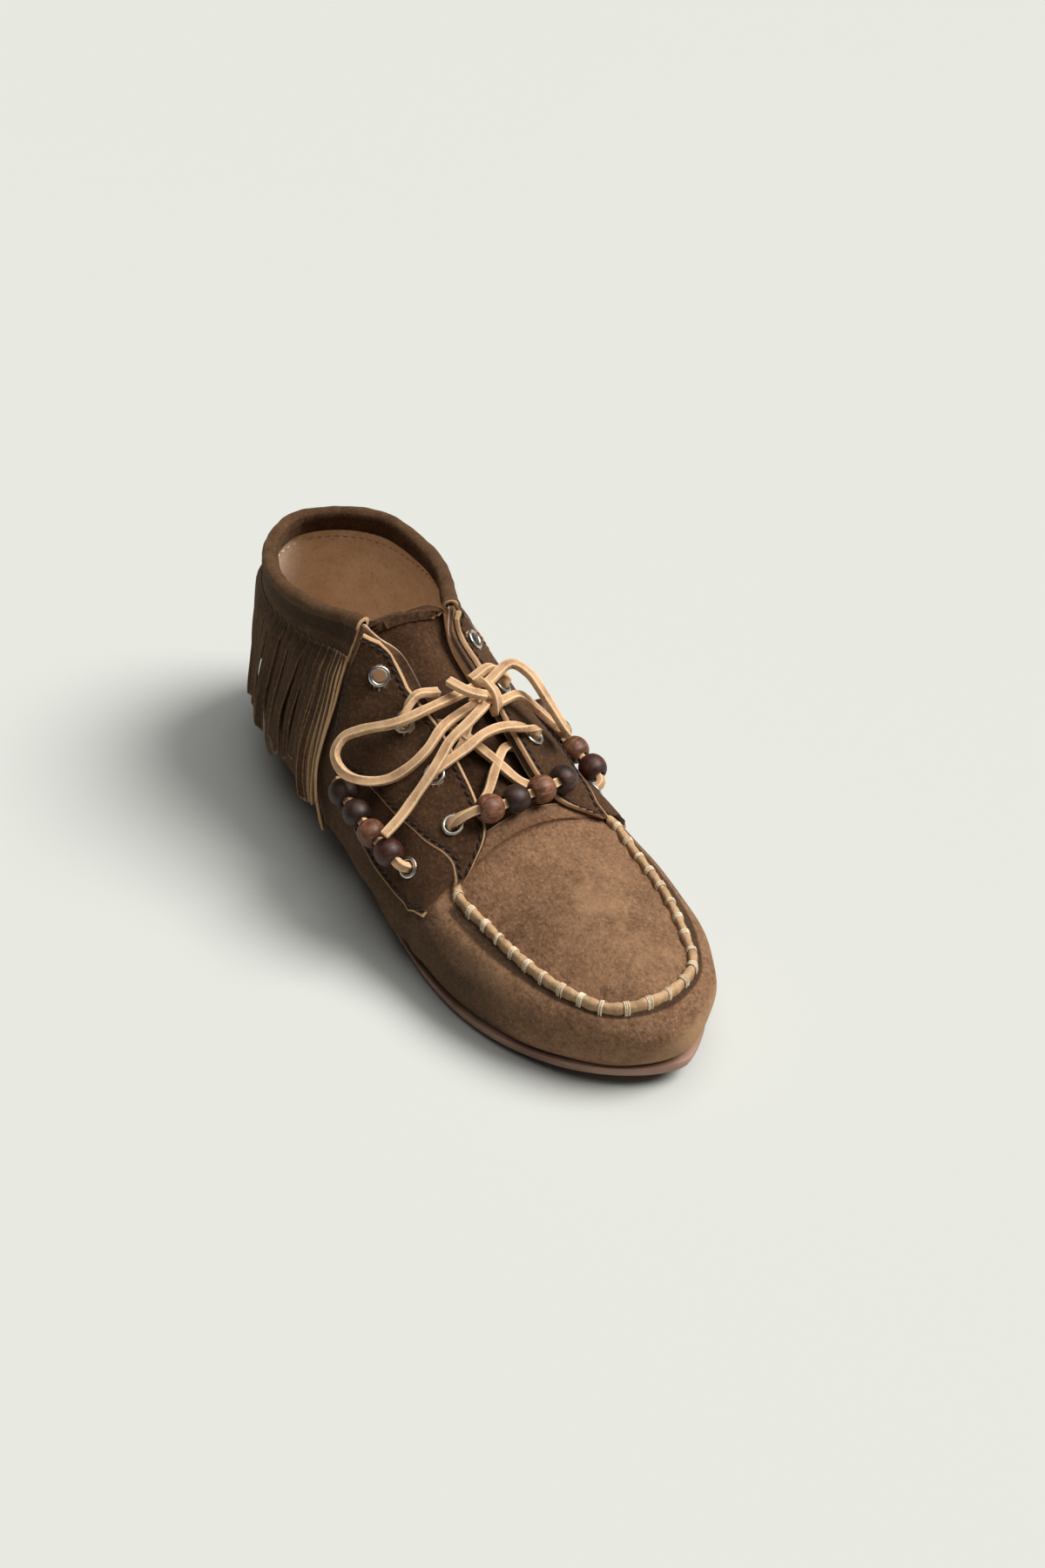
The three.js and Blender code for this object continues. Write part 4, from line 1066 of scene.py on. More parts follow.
@dataclass(frozen=True)
class Suede(Finish):
    """Brushed leather with a mottled nap, worn places and painted highlights made paler, painted shade, and raw
    cut edges.
    """

    edge: str
    speckle: float = 0.5
    # worn scales how much paler the worn places and the painted highlights get.
    worn: float = 0.6
    nap: float = 0.00022
    sheen: float = 0.25

    def material(self) -> bpy.types.Material:
        """Builds the finish."""
        paint = Paint(self.name)
        broad = paint.noise(34.0, 3.0, 0.6, 0.4)
        cloud = paint.noise(130.0, 4.0, 0.6, 0.3)
        fine = paint.noise(820.0, 5.0, 0.75, 0.2)
        fibre = paint.noise(2300.0, 3.0, 0.7, 0.6)
        pile = paint.noise(380.0, 4.0, 0.7, 0.5)
        mottle = (broad * 0.5 + cloud * 0.5).step(0.32, 0.6)
        colour = paint.mix(tint(self.dark), tint(self.base), mottle * 0.7 + 0.3)
        colour = paint.mix(colour, tint(self.light), (pile * 0.3 + fine * 0.7).step(0.5, 0.64) * self.speckle)
        pits = (1 - fine * 0.75 - pile * 0.25).step(0.5, 0.62)
        colour = paint.mix(colour, tint("1d130c"), pits * self.speckle)
        # Paler where the mesh's lighter value is high: real rub, and painted highlights on the toe and the
        # roll's top.
        lightened = (paint.read("wear_and_highlight") + (cloud - 0.5) * 0.7).step(0.15, 0.85) * self.worn
        colour = paint.mix(colour, tint(self.light), lightened)
        raw = (paint.read("edge") + (fine - 0.5) * 0.5).step(0.3, 0.8)
        colour = paint.mix(colour, tint(self.edge), raw)
        # Painted shade: turns towards near-black where the mesh's dark value is high, which also darkens the
        # wall's foot by the sole.
        shade = (paint.read("shade_and_grime") + (cloud - 0.5) * 0.3).step(0.1, 0.95) * 0.75
        colour = paint.mix(colour, tint("17100a"), shade)
        colour = paint.mix(colour, tint(self.light), fibre.step(0.6, 0.78) * 0.16)
        relief = paint.bump(cloud, 0.0009, 0.4)
        relief = paint.bump(pile * 0.3 + fine * 0.45 + fibre * 0.25, self.nap * 4, 0.9, relief)
        return paint.finish({
            "Base Color": colour,
            "Roughness": 0.86 + fine * 0.12,
            "Normal": relief,
            "Sheen Weight": self.sheen,
            "Sheen Roughness": 0.45,
            "Sheen Tint": (*tint("d0a880"), 1.0),
            "Specular IOR Level": 0.18,
        })


@dataclass(frozen=True)
class Thong(Finish):
    """Raw square-cut lace leather with painted shade in its groove, and fuzzy at its corners."""

    def material(self) -> bpy.types.Material:
        """Builds the finish."""
        paint = Paint(self.name)
        cloud = paint.noise(150.0, 3.0)
        fine = paint.noise(1100.0, 4.0, 0.7, 0.4)
        fibre = paint.noise(3200.0, 2.0, 0.6, 0.8)
        colour = paint.mix(tint(self.dark), tint(self.base), (cloud * 0.6 + fine * 0.4).step(0.32, 0.6))
        corner = (paint.read("edge") + (fine - 0.5) * 0.9).step(0.2, 0.9)
        # Painted shade in the lace's groove.
        groove = (paint.read("groove") + (fine - 0.5) * 0.6).step(0.4, 1.1)
        colour = paint.mix(colour, tint(self.light), corner * 0.8)
        colour = paint.mix(colour, tint(self.dark), groove * 0.5)
        relief = paint.bump(fine * 0.5 + fibre * 0.5, 0.0004, 0.7)
        return paint.finish({
            "Base Color": colour,
            "Roughness": 0.82 + fine * 0.14,
            "Normal": relief,
            "Sheen Weight": 0.2,
            "Sheen Tint": (*tint("e8c898"), 1.0),
            "Specular IOR Level": 0.2,
        })


@dataclass(frozen=True)
class Wood(Finish):
    """Turned and polished wood with a fine grain, and painted shade in its bore."""

    def material(self) -> bpy.types.Material:
        """Builds the finish."""
        paint = Paint(self.name)
        along = paint.stretched(1.0, 0.22, 1.0)
        grain = paint.noise(620.0, 3.0, 0.6, 1.2, along)
        pores = paint.noise(2400.0, 2.0, 0.5, 0.0, along)
        broad = paint.noise(120.0, 2.0)
        colour = paint.mix(tint(self.dark), tint(self.base), (grain * 0.7 + broad * 0.3).step(0.36, 0.62))
        colour = paint.mix(colour, tint(self.light), grain.step(0.56, 0.74) * 0.5)
        colour = paint.mix(colour, tint(self.dark), pores.step(0.6, 0.7) * 0.55)
        # Painted shade in the bead's bore.
        colour = paint.mix(colour, tint("100806"), paint.read("shade_and_grime").step(0.2, 0.9) * 0.85)
        relief = paint.bump(grain * 0.6 + pores * 0.4, 0.00012, 0.5)
        return paint.finish({
            "Base Color": colour,
            "Roughness": 0.42 + grain * 0.2,
            "Normal": relief,
            "Specular IOR Level": 0.38,
            "Coat Weight": 0.06,
            "Coat Roughness": 0.3,
        })


@dataclass(frozen=True)
class Metal:
    """Rolled nickel with a little tarnish, and painted shade down the eyelet's barrel."""

    name: str

    def material(self) -> bpy.types.Material:
        """Builds the finish."""
        paint = Paint(self.name)
        cloud = paint.noise(420.0, 3.0)
        scratch = paint.noise(1500.0, 2.0, 0.6, 0.0, paint.stretched(1.0, 5.0, 0.6))
        colour = paint.mix(tint("cfccc4"), tint("8c8478"), cloud.step(0.5, 0.75) * 0.6)
        # Painted shade: the barrel inside the hole turns near-black and loses its metal shine.
        colour = paint.mix(colour, tint("1a140f"), paint.read("shade_and_grime").step(0.2, 0.8) * 0.92)
        return paint.finish({
            "Base Color": colour,
            "Metallic": 1.0 - paint.read("shade_and_grime").step(0.3, 0.9) * 0.8,
            "Roughness": 0.2 + scratch * 0.22,
            "Normal": paint.bump(scratch, 0.00006, 0.5),
        })


@dataclass(frozen=True)
class Rubber(Finish):
    """Smooth moulded rubber with rubbed and dusty places."""

    def material(self) -> bpy.types.Material:
        """Builds the finish."""
        paint = Paint(self.name)
        broad = paint.noise(40.0, 3.0)
        fine = paint.noise(700.0, 3.0, 0.6)
        scuff = paint.noise(300.0, 4.0, 0.65, 0.5, paint.stretched(0.3, 0.3, 2.2))
        colour = paint.mix(tint(self.dark), tint(self.base), broad.step(0.3, 0.62))
        colour = paint.mix(colour, tint(self.light), scuff.step(0.58, 0.75) * 0.35)
        colour = paint.mix(colour, tint(self.dark), fine.step(0.6, 0.75) * 0.25)
        colour = paint.mix(colour, tint("4a352a"), paint.read("shade_and_grime").step(0.1, 0.95) * 0.7)
        relief = paint.bump(scuff * 0.5 + fine * 0.5, 0.00018, 0.45)
        return paint.finish({
            "Base Color": colour,
            "Roughness": 0.5 + scuff * 0.25,
            "Normal": relief,
            "Specular IOR Level": 0.4,
        })


@dataclass(frozen=True)
class Thread:
    """Waxed stitching thread."""

    name: str
    base: str
    dark: str

    def material(self) -> bpy.types.Material:
        """Builds the finish."""
        paint = Paint(self.name)
        twist = paint.noise(2600.0, 2.0, 0.6, 0.5)
        cloud = paint.noise(300.0, 2.0)
        colour = paint.mix(tint(self.dark), tint(self.base), (twist * 0.6 + cloud * 0.4).step(0.38, 0.6))
        return paint.finish({
            "Base Color": colour,
            "Roughness": 0.7 + twist * 0.2,
            "Normal": paint.bump(twist, 0.00015, 0.7),
        })


@dataclass(frozen=True)
class Finishes:
    """The boot's materials."""

    suede: bpy.types.Material
    dark_suede: bpy.types.Material
    lining: bpy.types.Material
    lip: bpy.types.Material
    lace: bpy.types.Material
    metal: bpy.types.Material
    rubber: bpy.types.Material
    thread: bpy.types.Material
    dark_thread: bpy.types.Material
    woods: dict[Tone, bpy.types.Material]

    @staticmethod
    def make() -> Finishes:
        """Builds every finish of the boot."""
        return Finishes(
            Suede("suede", "86644a", "644833", "b08c68", "c49c74").material(),
            Suede("dark_suede", "4a3220", "302012", "73543a", "c8a27a", worn=0.45).material(),
            Suede("lining", "e9cfb3", "cfb092", "f0dcc2", "8a6848", 0.2, nap=0.00012, sheen=0.15).material(),
            Suede("lip", "bd9871", "8e6c4c", "dabb92", "c8a27a", speckle=0.35, sheen=0.15).material(),
            Thong("lace_leather", "deb68c", "a87f5c", "ecd0a8").material(),
            Metal("eyelet_metal").material(),
            Rubber("sole_rubber", "a07c6a", "7e5d4c", "bd9c88").material(),
            Thread("cream_thread", "f0e2c6", "c0a684").material(),
            Thread("dark_thread", "2c1a10", "150c07").material(),
            {
                Tone.LIGHT: Wood("bead_light", "7f5238", "4e2f20", "a87a56").material(),
                Tone.DARK: Wood("bead_dark", "3a241b", "1e120c", "5c3c2c").material(),
                Tone.RED: Wood("bead_red", "4c261c", "2a1410", "743f2c").material(),
            },
        )


@dataclass(frozen=True)
class PhotoCamera:
    """The camera at the picture's angle, placed in millimetres from the part's origin."""

    place: tuple[float, float, float] = (589.2, -301.4, 526.2)
    azimuth: float = 56.4967
    elevation: float = 40.0796
    roll: float = 0.6893
    lens: float = 49.344
    sensor: float = 36.0

    def build(self) -> bpy.types.Object:
        """Makes the camera and looks through it.

        Returns:
            The camera.
        """
        az, el, roll = (math.radians(angle) for angle in (self.azimuth, self.elevation, self.roll))
        back = Vector((math.sin(az) * math.cos(el), -math.cos(az) * math.cos(el), math.sin(el)))
        level = Vector((math.cos(az), math.sin(az), 0.0))
        rise = back.cross(level)
        right = level * math.cos(roll) + rise * math.sin(roll)
        up = rise * math.cos(roll) - level * math.sin(roll)
        data = bpy.data.cameras.new("photo_camera")
        data.sensor_fit = "VERTICAL"
        data.sensor_height = self.sensor
        data.lens = self.lens
        data.clip_start = 0.01
        data.clip_end = 20.0
        camera = add_object("photo_camera", data)
        turn = Matrix((right, up, back)).transposed().to_4x4()
        camera.matrix_world = Matrix.Translation(Vector(self.place) * MM) @ turn
        bpy.context.scene.camera = camera
        return camera


@dataclass(frozen=True)
class Lamp:
    """One soft far light of the studio, as wide as its spread in degrees."""

    name: str
    place: tuple[float, float, float]
    spread: float
    power: float
    colour: Colour

    def build(self, target: Vector) -> None:
        """Makes the light, turned to a place on the boot."""
        data = bpy.data.lights.new(self.name, "SUN")
        data.angle = math.radians(self.spread)
        data.energy = self.power
        data.color = self.colour
        lamp = add_object(self.name, data)
        place = Vector(self.place)
        turn = (place - target).to_track_quat("Z", "Y").to_matrix().to_4x4()
        lamp.matrix_world = Matrix.Translation(place) @ turn


@dataclass(frozen=True)
class Studio:
    """A plain pale floor under soft light from the right, with the shadow on the left."""

    floor_size: float = 12.0
    floor_tint: str = "c8cac5"
    sky: float = 0.05
    lamps: tuple[Lamp, ...] = (
        Lamp("key_light", (0.95, 1.35, 2.05), 32.0, 3.7, (1.0, 0.985, 0.965)),
        Lamp("top_light", (0.2, 0.35, 2.0), 60.0, 1.4, (1.0, 0.995, 0.985)),
    )

    def build(self) -> None:
        """Makes the floor, the sky and the lights."""
        half = self.floor_size / 2
        mesh = bpy.data.meshes.new("floor")
        corners = [(-half, -half, 0), (half, -half, 0), (half, half, 0), (-half, half, 0)]
        mesh.from_pydata(corners, [], [(0, 1, 2, 3)])
        paint = Paint("floor")
        cloud = paint.noise(1.5, 2.0)
        colour = paint.mix(tint(self.floor_tint), tint("c3c5c0"), cloud * 0.25)
        sockets = {"Base Color": colour, "Roughness": 0.9, "Specular IOR Level": 0.1}
        mesh.materials.append(paint.finish(sockets))
        add_object("floor", mesh)
        world = bpy.data.worlds.new("studio")
        world.use_nodes = True
        light = world.node_tree.nodes["Background"]
        light.inputs["Color"].default_value = (1.0, 0.99, 0.96, 1.0)
        light.inputs["Strength"].default_value = self.sky
        bpy.context.scene.world = world
        for lamp in self.lamps:
            lamp.build(Vector((0.09, 0.0, 0.03)))
        bpy.context.scene.view_settings.view_transform = "Standard"


@dataclass
class Holes:
    """The lace holes and how leather opens round them, in millimetres."""

    last: Last
    radius: float = 3.0
    reach: float = 1.5
    throat: tuple[tuple[float, float], ...] = ((7.83, 0.9), (9.02, 0.895), (10.02, 0.9), (11.24, 0.88))
    side: tuple[float, float] = (11.2, 0.637)

    def seat(self, hole: tuple[float, float], side: Side, out: float = 0.0) -> tuple[Points, Points]:
        """A hole's place on the plain wall and the wall's outward direction."""
        u = self.last.share(hole[0], side)
        normal = self.last.normal(u, hole[1])
        return self.last.point(u, hole[1]) + normal * out, normal

    def open(self, top: Points, bottom: Points, side: Side, holes: Sequence[tuple[float, float]],
             keep: Points, wrap: bool = False) -> None:
        """Leaves out the quads over the holes and draws the rest back to round edges.

        Args:
            top: The outer grid, whose points move.
            bottom: The inner grid, whose points move too.
            side: The boot's side.
            holes: The holes on it.
            keep: Which quads stay, which this changes.
            wrap: Whether the grid's last row joins its first.
        """
        for hole in holes:
            place, normal = self.seat(hole, side)
            away = top - place
            height = away @ normal
            flat = away - height[..., None] * normal
            near = np.linalg.norm(flat, axis=-1) + 100 * (np.abs(height) > 9)
            inside = near < self.radius
            rows = np.vstack([inside, inside[:1]]) if wrap else inside
            keep &= ~(rows[:-1, :-1] | rows[:-1, 1:] | rows[1:, 1:] | rows[1:, :-1])
            past = near - self.radius
            pull = (past >= 0) & (past < self.reach)
            toward = flat / np.maximum(near, 1e-6)[..., None]
            shift = np.where(pull, np.minimum(0.0, -past * (self.reach - past) / self.reach), 0.0)
            top += toward * shift[..., None]
            bottom += toward * shift[..., None]


@dataclass
class Upper:
    """The suede wall round the foot, its lining, the apron over the toes and the raised seam."""

    last: Last
    holes: Holes
    finishes: Finishes
    around: int = 560
    levels: int = 72
    suede_thickness: float = 1.25
    lip_width: float = 3.2
    lip_height: float = 3.0
    lip_sink: float = 0.18
    lip_step: float = 0.8
    lip_corners: int = 18
    crossing_step: float = 7.6
    thread: float = 0.3
    throat_back: tuple[float, float] = (100.0, 106.0)
    throat_front: tuple[float, float] = (164.0, 170.0)

    def grid(self) -> tuple[Points, Points]:
        """Shares round the boot and up the wall, close together at the rims."""
        u = np.arange(self.around) / self.around
        t = np.linspace(0.0, 1.0, self.levels)
        v = blend(t, (1 - np.cos(math.pi * t)) / 2, 0.35)
        return np.meshgrid(u, v, indexing="ij")

    def wear_and_highlight(self, v: Points, places: Points) -> tuple[Points, Points]:
        """Lighter and darker places of the wall: worn places with painted highlights, painted shade, and a
        darker foot.

        Args:
            v: Shares up the wall.
            places: The wall's points.

        Returns:
            The lighter values, for rub and painted highlights, and the darker values, for painted shade and the
            wall's foot.
        """
        x, y = places[..., 0], places[..., 1]
        # Paler low toe, partly real rub and partly a painted highlight; its medial side, towards the light,
        # gets more painted highlight.
        toe = ramp(x, 208, 248) * (1 - ramp(v, 0.25, 0.75))
        inner = ramp(y, -12, 12) * toe
        flank = 0.45 * hump(x, 196, 26) * hump(v, 0.6, 0.3)
        heel = 0.35 * (1 - ramp(x, 4, 22)) * hump(v, 0.3, 0.22)
        lightened = 0.4 * toe + 0.75 * inner + flank + heel
        # Darker at the wall's foot by the sole.
        low = 0.6 * (1 - ramp(v, 0.0, 0.07))
        # Painted shade on the lower walls behind the toe.
        side = 0.75 * (1 - ramp(x, 190, 235)) * (1 - ramp(v, 0.6, 0.9))
        # Painted shade on the wall just below the raised seam.
        seam = 1.1 * ramp(v, 0.79, 0.87) * ramp(x, 168, 174)
        return lightened, low + side + seam

    def opened(self, top: Points, bottom: Points) -> Points:
        """Opens the lace holes in two grids of the wall and says which quads stay."""
        keep = np.ones((self.around, self.levels - 1), bool)
        for side in Side:
            self.holes.open(top, bottom, side, (*self.holes.throat, self.holes.side), keep, wrap=True)
        return keep

    def build_wall(self) -> None:
        """Makes the outer suede and the lining inside it."""
        u, v = self.grid()
        top = self.last.skin(u, v)
        middle = self.last.skin(u, v, -self.suede_thickness)
        keep = self.opened(top, middle)
        x = top[..., 0]
        lightened, dark = self.wear_and_highlight(v, top)
        # Painted shade on the wall's top edge along the open throat, between the facings and the tongue.
        open_top = ramp(x, *self.throat_back) * (1 - ramp(x, *self.throat_front))
        dark = dark + 0.8 * open_top * ramp(v, 0.93, 0.99)
        shell = sheet_solid(top, middle, keep, wrap=True, values={"wear_and_highlight": lightened, "shade_and_grime": dark})
        shell.values["edge"] *= 0.25
        Piece.build("upper_suede", shell, self.finishes.suede, "suede", ("upper",))
        outer = self.last.skin(u, v, -self.suede_thickness - 0.05)
        inner = self.last.plain(u, v, -self.last.wall)
        keep = self.opened(outer, inner)
        # Painted shade on the lining: darker low inside the boot and at its top along the throat.
        throat = ramp(outer[..., 0], *self.throat_back) * ramp(v, 0.9, 0.98)
        deep = 0.1 * (1 - ramp(v, 0.1, 0.75)) + 0.9 * throat
        shell = sheet_solid(outer, inner, keep, wrap=True, values={"shade_and_grime": deep})
        shell.values["edge"] *= 0.2
        Piece.build("upper_lining", shell, self.finishes.lining, "lining", ("upper",))

    def build_apron(self) -> None:
        """Makes the apron over the foot, drawn in a little at each crossing of its seam."""
        section = np.concatenate([np.linspace(12.0, 14.0, 26)[:-1], np.linspace(14.0, 18.9, 110)])
        t = (1 - np.cos(math.pi * np.linspace(0, 1, 64))) / 2
        t = blend(np.linspace(0, 1, 64), t, 0.6)
        grid_section, grid_t = np.meshgrid(section, t, indexing="ij")
        base = self.last.across(grid_section, grid_t)
        x, y = base[..., 0], base[..., 1]
        border = np.minimum(grid_t, 1 - grid_t)
        pucker = 0.4 * np.sin(2 * math.pi * (x + 0.35 * np.abs(y)) / self.crossing_step)
        pucker = pucker * (1 - ramp(border, 0.02, 0.12))
        soft = 0.5 * np.sin(x / 15 + y / 19) * np.sin(y / 12 + 1) - 0.8 * hump(x - y * 0.2, 168, 5)
        soft = soft - 0.5 * hump(x + y * 0.1, 178, 4.2) * ramp(border, 0.05, 0.3)
        height = 0.8 + (pucker + soft * ramp(border, 0.0, 0.2)) * ramp(grid_section, 12.2, 13.4)
        top = self.last.across(grid_section, grid_t, height)
        bottom = self.last.across(grid_section, grid_t, -1.2)
        lightened = 0.5 * hump(x, 202, 22) * hump(y, 6, 20) + 0.3 * hump(x, 232, 9)
        # Painted shade along the apron's border by the raised seam and at its back end by the throat.
        dark = 0.55 * (1 - ramp(border, 0.0, 0.05)) + 0.35 * (1 - ramp(x, 160, 172))
        shell = sheet_solid(top, bottom, values={"wear_and_highlight": lightened, "shade_and_grime": dark})
        Piece.build("apron", shell, self.finishes.suede, "suede", ("upper",))

    def seam_line(self, step: float) -> tuple[Points, Points]:
        """The top line of the toe's seam.

        Args:
            step: How far apart its places are.

        Returns:
            The places, and the level directions away from the boot there.
        """
        start = self.last.seam_start - 0.15
        u = np.linspace(start, self.last.round - start, 400) / self.last.round
        line = even_run(self.last.point(u, 1.0), step)
        along = unit(np.gradient(line, axis=0))
        out = unit(np.stack([along[:, 1], -along[:, 0], np.zeros(len(along))], axis=1))
        return line, out

    def lip_point(self, line: Points, out: Points, angle: Points, grow: Any = 0.0) -> Points:
        """Places on the raised seam's round face."""
        wide = self.lip_width / 2 + grow
        high = self.lip_height + grow
        rounded = np.sign(np.cos(angle)) * np.abs(np.cos(angle)) ** 0.7
        raised = np.abs(np.sin(angle)) ** 0.8 * np.where(np.sin(angle) < 0, -0.4, 1.0)
        flat = out * (wide * rounded)[..., None]
        flat[..., 2] += high * raised - self.lip_sink
        return line + flat

    def build_seam(self) -> None:
        """Makes the raised lip and the cream thread over it."""
        line, out = self.seam_line(self.lip_step)
        numbers = np.arange(len(line))
        per_crossing = self.crossing_step / self.lip_step
        marks = numbers / per_crossing
        pinch = 0.12 * np.sin(marks * 5.1) + 0.1 * np.sin(marks * 11.3) - 0.3 * hump(marks % 1.0, 0.5, 0.13)
        angles = np.arange(self.lip_corners) / self.lip_corners * 2 * math.pi
        rows = self.lip_point(line[:, None], out[:, None], np.tile(angles, (len(line), 1)), pinch[:, None])
        wear_and_highlight = np.tile(np.maximum(0.0, np.sin(angles)) * 0.5, (len(line), 1))
        # Painted shade on the lip's lower half.
        shade_and_grime = np.tile((np.sin(angles) < -0.2).astype(float), (len(line), 1))
        lip = loft(rows, values={"wear_and_highlight": wear_and_highlight, "shade_and_grime": shade_and_grime})
        Piece.build("seam_lip", lip, self.finishes.lip, "suede", ("upper",))
        threads = []
        for crossing in range(int(len(line) / per_crossing)):
            at = (crossing + 0.5) * per_crossing
            for k, spread in enumerate((-1.0, 0.0, 1.0)[: 3 if crossing % 3 else 2]):
                tilt = 0.5 * (vary(crossing, k + 1) - 0.5)
                sweep = np.linspace(-0.15, math.pi + 0.25, 14)
                place = at + spread * 0.85 + np.linspace(-tilt, tilt, 14) * 1.3
                spine = between(place, numbers, line)
                away = between(place, numbers, out)
                path = self.lip_point(spine, away, sweep, 0.08)
                foot = path[0] + away[0] * 0.7 - np.array([0.0, 0.0, 3.0])
                rung = np.array([blend(foot, path[0], share) for share in (0.0, 0.35, 0.7)])
                threads.append(tube(np.vstack([rung, path]), self.thread))
        for shift, drop, size in ((2.3, -3.3, 0.34), (-2.3, 0.3, 0.34)):
            dash_line, dash_out = self.seam_line(self.crossing_step)
            middle = dash_line[:-1] + dash_out[:-1] * shift
            middle[:, 2] += drop
            ahead = unit(np.diff(dash_line, axis=0))
            above = unit(dash_out[:-1] * (0.8 if shift > 0 else -0.5) + np.array([0, 0, 0.7]))
            threads.append(stitches(middle, ahead, above, self.crossing_step * 0.66, size))
        Piece.build("seam_thread", joined(threads), self.finishes.thread, "suede", ("upper",))

    def build_lining_stitches(self) -> None:
        """Makes the two rows of pale stitches inside the back of the collar."""
        shells = []
        for level in (0.915, 0.875):
            u = np.linspace(-4.6, 4.6, 300) / self.last.round
            line = even_run(self.last.plain(u, level, -self.last.wall - 0.12), 3.3)
            normal = -unit(np.stack([line[:, 0] - 40, line[:, 1] * 1.6, np.zeros(len(line))], axis=1))
            shells.append(stitches(line, unit(np.gradient(line, axis=0)), normal, 1.8, 0.26))
        Piece.build("lining_stitches", joined(shells), self.finishes.thread, "lining", ("upper",))

    def build(self) -> None:
        """Makes the upper's pieces."""
        self.build_wall()
        self.build_apron()
        self.build_seam()
        self.build_lining_stitches()


@dataclass
class Overlay:
    """A piece of leather stitched on the wall, such as a facing or a side strip."""

    last: Last
    holes: Holes
    finishes: Finishes
    name: str
    node: str
    side: Side
    rows: Sequence[Band]
    openings: Sequence[tuple[float, float]]
    thickness: float
    seat: float = LEATHER_SEAT
    columns: int = 44
    step: float = 0.9
    stitch_inset: float = 2.1
    stitch_step: float = 3.1
    tucked: bool = False

    def edges(self, section: Points) -> tuple[Points, Points]:
        """The lower and upper edge at each section."""
        ats = [row.section for row in self.rows]
        high = np.interp(section, ats, [row.high for row in self.rows])
        return np.interp(section, ats, [row.low for row in self.rows]), high + (0.014 if self.tucked else 0.0)

    def run(self) -> Points:
        """Sections from end to end, a step apart on the leather."""
        fine = np.linspace(self.rows[0].section, self.rows[-1].section, 900)
        low, high = self.edges(fine)
        line = self.last.point(self.last.share(fine, self.side), (low + high) / 2)
        lengths = distances(line)
        return np.interp(np.linspace(0, lengths[-1], int(lengths[-1] / self.step)), lengths, fine)

    def height(self, u: Points, low: Points, high: Points) -> Points:
        """How far apart the two edges are."""
        return np.linalg.norm(self.last.point(u, low) - self.last.point(u, high), axis=-1)

    def build_leather(self) -> None:
        """Makes the leather with its rounded, paler cut edge."""
        section = self.run()
        low, high = self.edges(section)
        t = np.linspace(0, 1, self.columns)
        t = blend(t, (1 - np.cos(math.pi * t)) / 2, 0.5)
        v = blend(low[:, None], high[:, None], t[None])
        u = np.broadcast_to(self.last.share(section, self.side)[:, None], v.shape)
        ends = np.minimum(np.arange(len(section)), np.arange(len(section))[::-1])[:, None] * self.step
        tall = self.height(u[:, 0], low, high)
        inward = t if self.tucked else np.minimum(t, 1 - t)
        border = np.minimum(inward[None] * tall[:, None], ends)
        round_off = 0.55 * (1 - np.sqrt(1 - (1 - np.clip(border / 1.0, 0, 1)) ** 2))
        groove = 0.25 * hump(border, self.stitch_inset, 0.7)
        top = self.last.skin(u, v, self.seat + self.thickness - round_off - groove)
        bottom = self.last.skin(u, v, self.seat)
        keep = np.ones((len(section) - 1, self.columns - 1), bool)
        self.holes.open(top, bottom, self.side, self.openings, keep)
        cut = 1 - ramp(border, 0.35, 1.15)
        if self.tucked:
            cut = cut * (1 - ramp(t, 0.6, 0.8))[None]
        wear_and_highlight = np.broadcast_to(0.5 * hump(section[:, None], self.rows[-1].section, 0.9), border.shape)
        # Painted shade along the stitch groove.
        shade_and_grime = 0.5 * hump(border, self.stitch_inset, 0.6)
        shell = sheet_solid(top, bottom, keep, values={"cut": cut, "wear_and_highlight": wear_and_highlight, "shade_and_grime": shade_and_grime})
        raw = shell.values.pop("cut")
        shell.values["edge"] = np.maximum(shell.values["edge"] * (0.0 if self.tucked else 0.8), raw)
        Piece.build(self.name, shell, self.finishes.dark_suede, "dark_suede", (self.node,))

    def build_stitches(self) -> None:
        """Makes the twisted stitches inside the edges."""
        section = self.run()[3:-3]
        low, high = self.edges(section)
        u = self.last.share(section, self.side)
        tall = self.height(u, low, high)
        inset = np.minimum(0.45, self.stitch_inset / np.maximum(tall, 1.0))
        shells = []
        good = tall > 3 * self.stitch_inset
        edges = [blend(low, high, inset), blend(high, low, inset)]
        for v in edges[:1] if self.tucked else edges:
            line = self.last.skin(u[good], v[good], self.seat + self.thickness - 0.12)
            normal = self.last.normal(u[good], v[good])
            places = even_run(line, self.stitch_step)
            marks = np.linspace(0, len(line) - 1, len(places))
            above = unit(between(marks, np.arange(len(line)), normal))
            ahead = unit(np.gradient(places, axis=0))
            ahead = unit(ahead + 0.32 * np.cross(above, ahead))
            shells.append(stitches(places, ahead, above, self.stitch_step * 0.82, 0.46))
        piece = joined(shells)
        Piece.build(f"{self.name}_stitches", piece, self.finishes.dark_thread, "dark_suede", (self.node,))

    def build(self) -> None:
        """Makes the leather and its stitches."""
        self.build_leather()
        self.build_stitches()


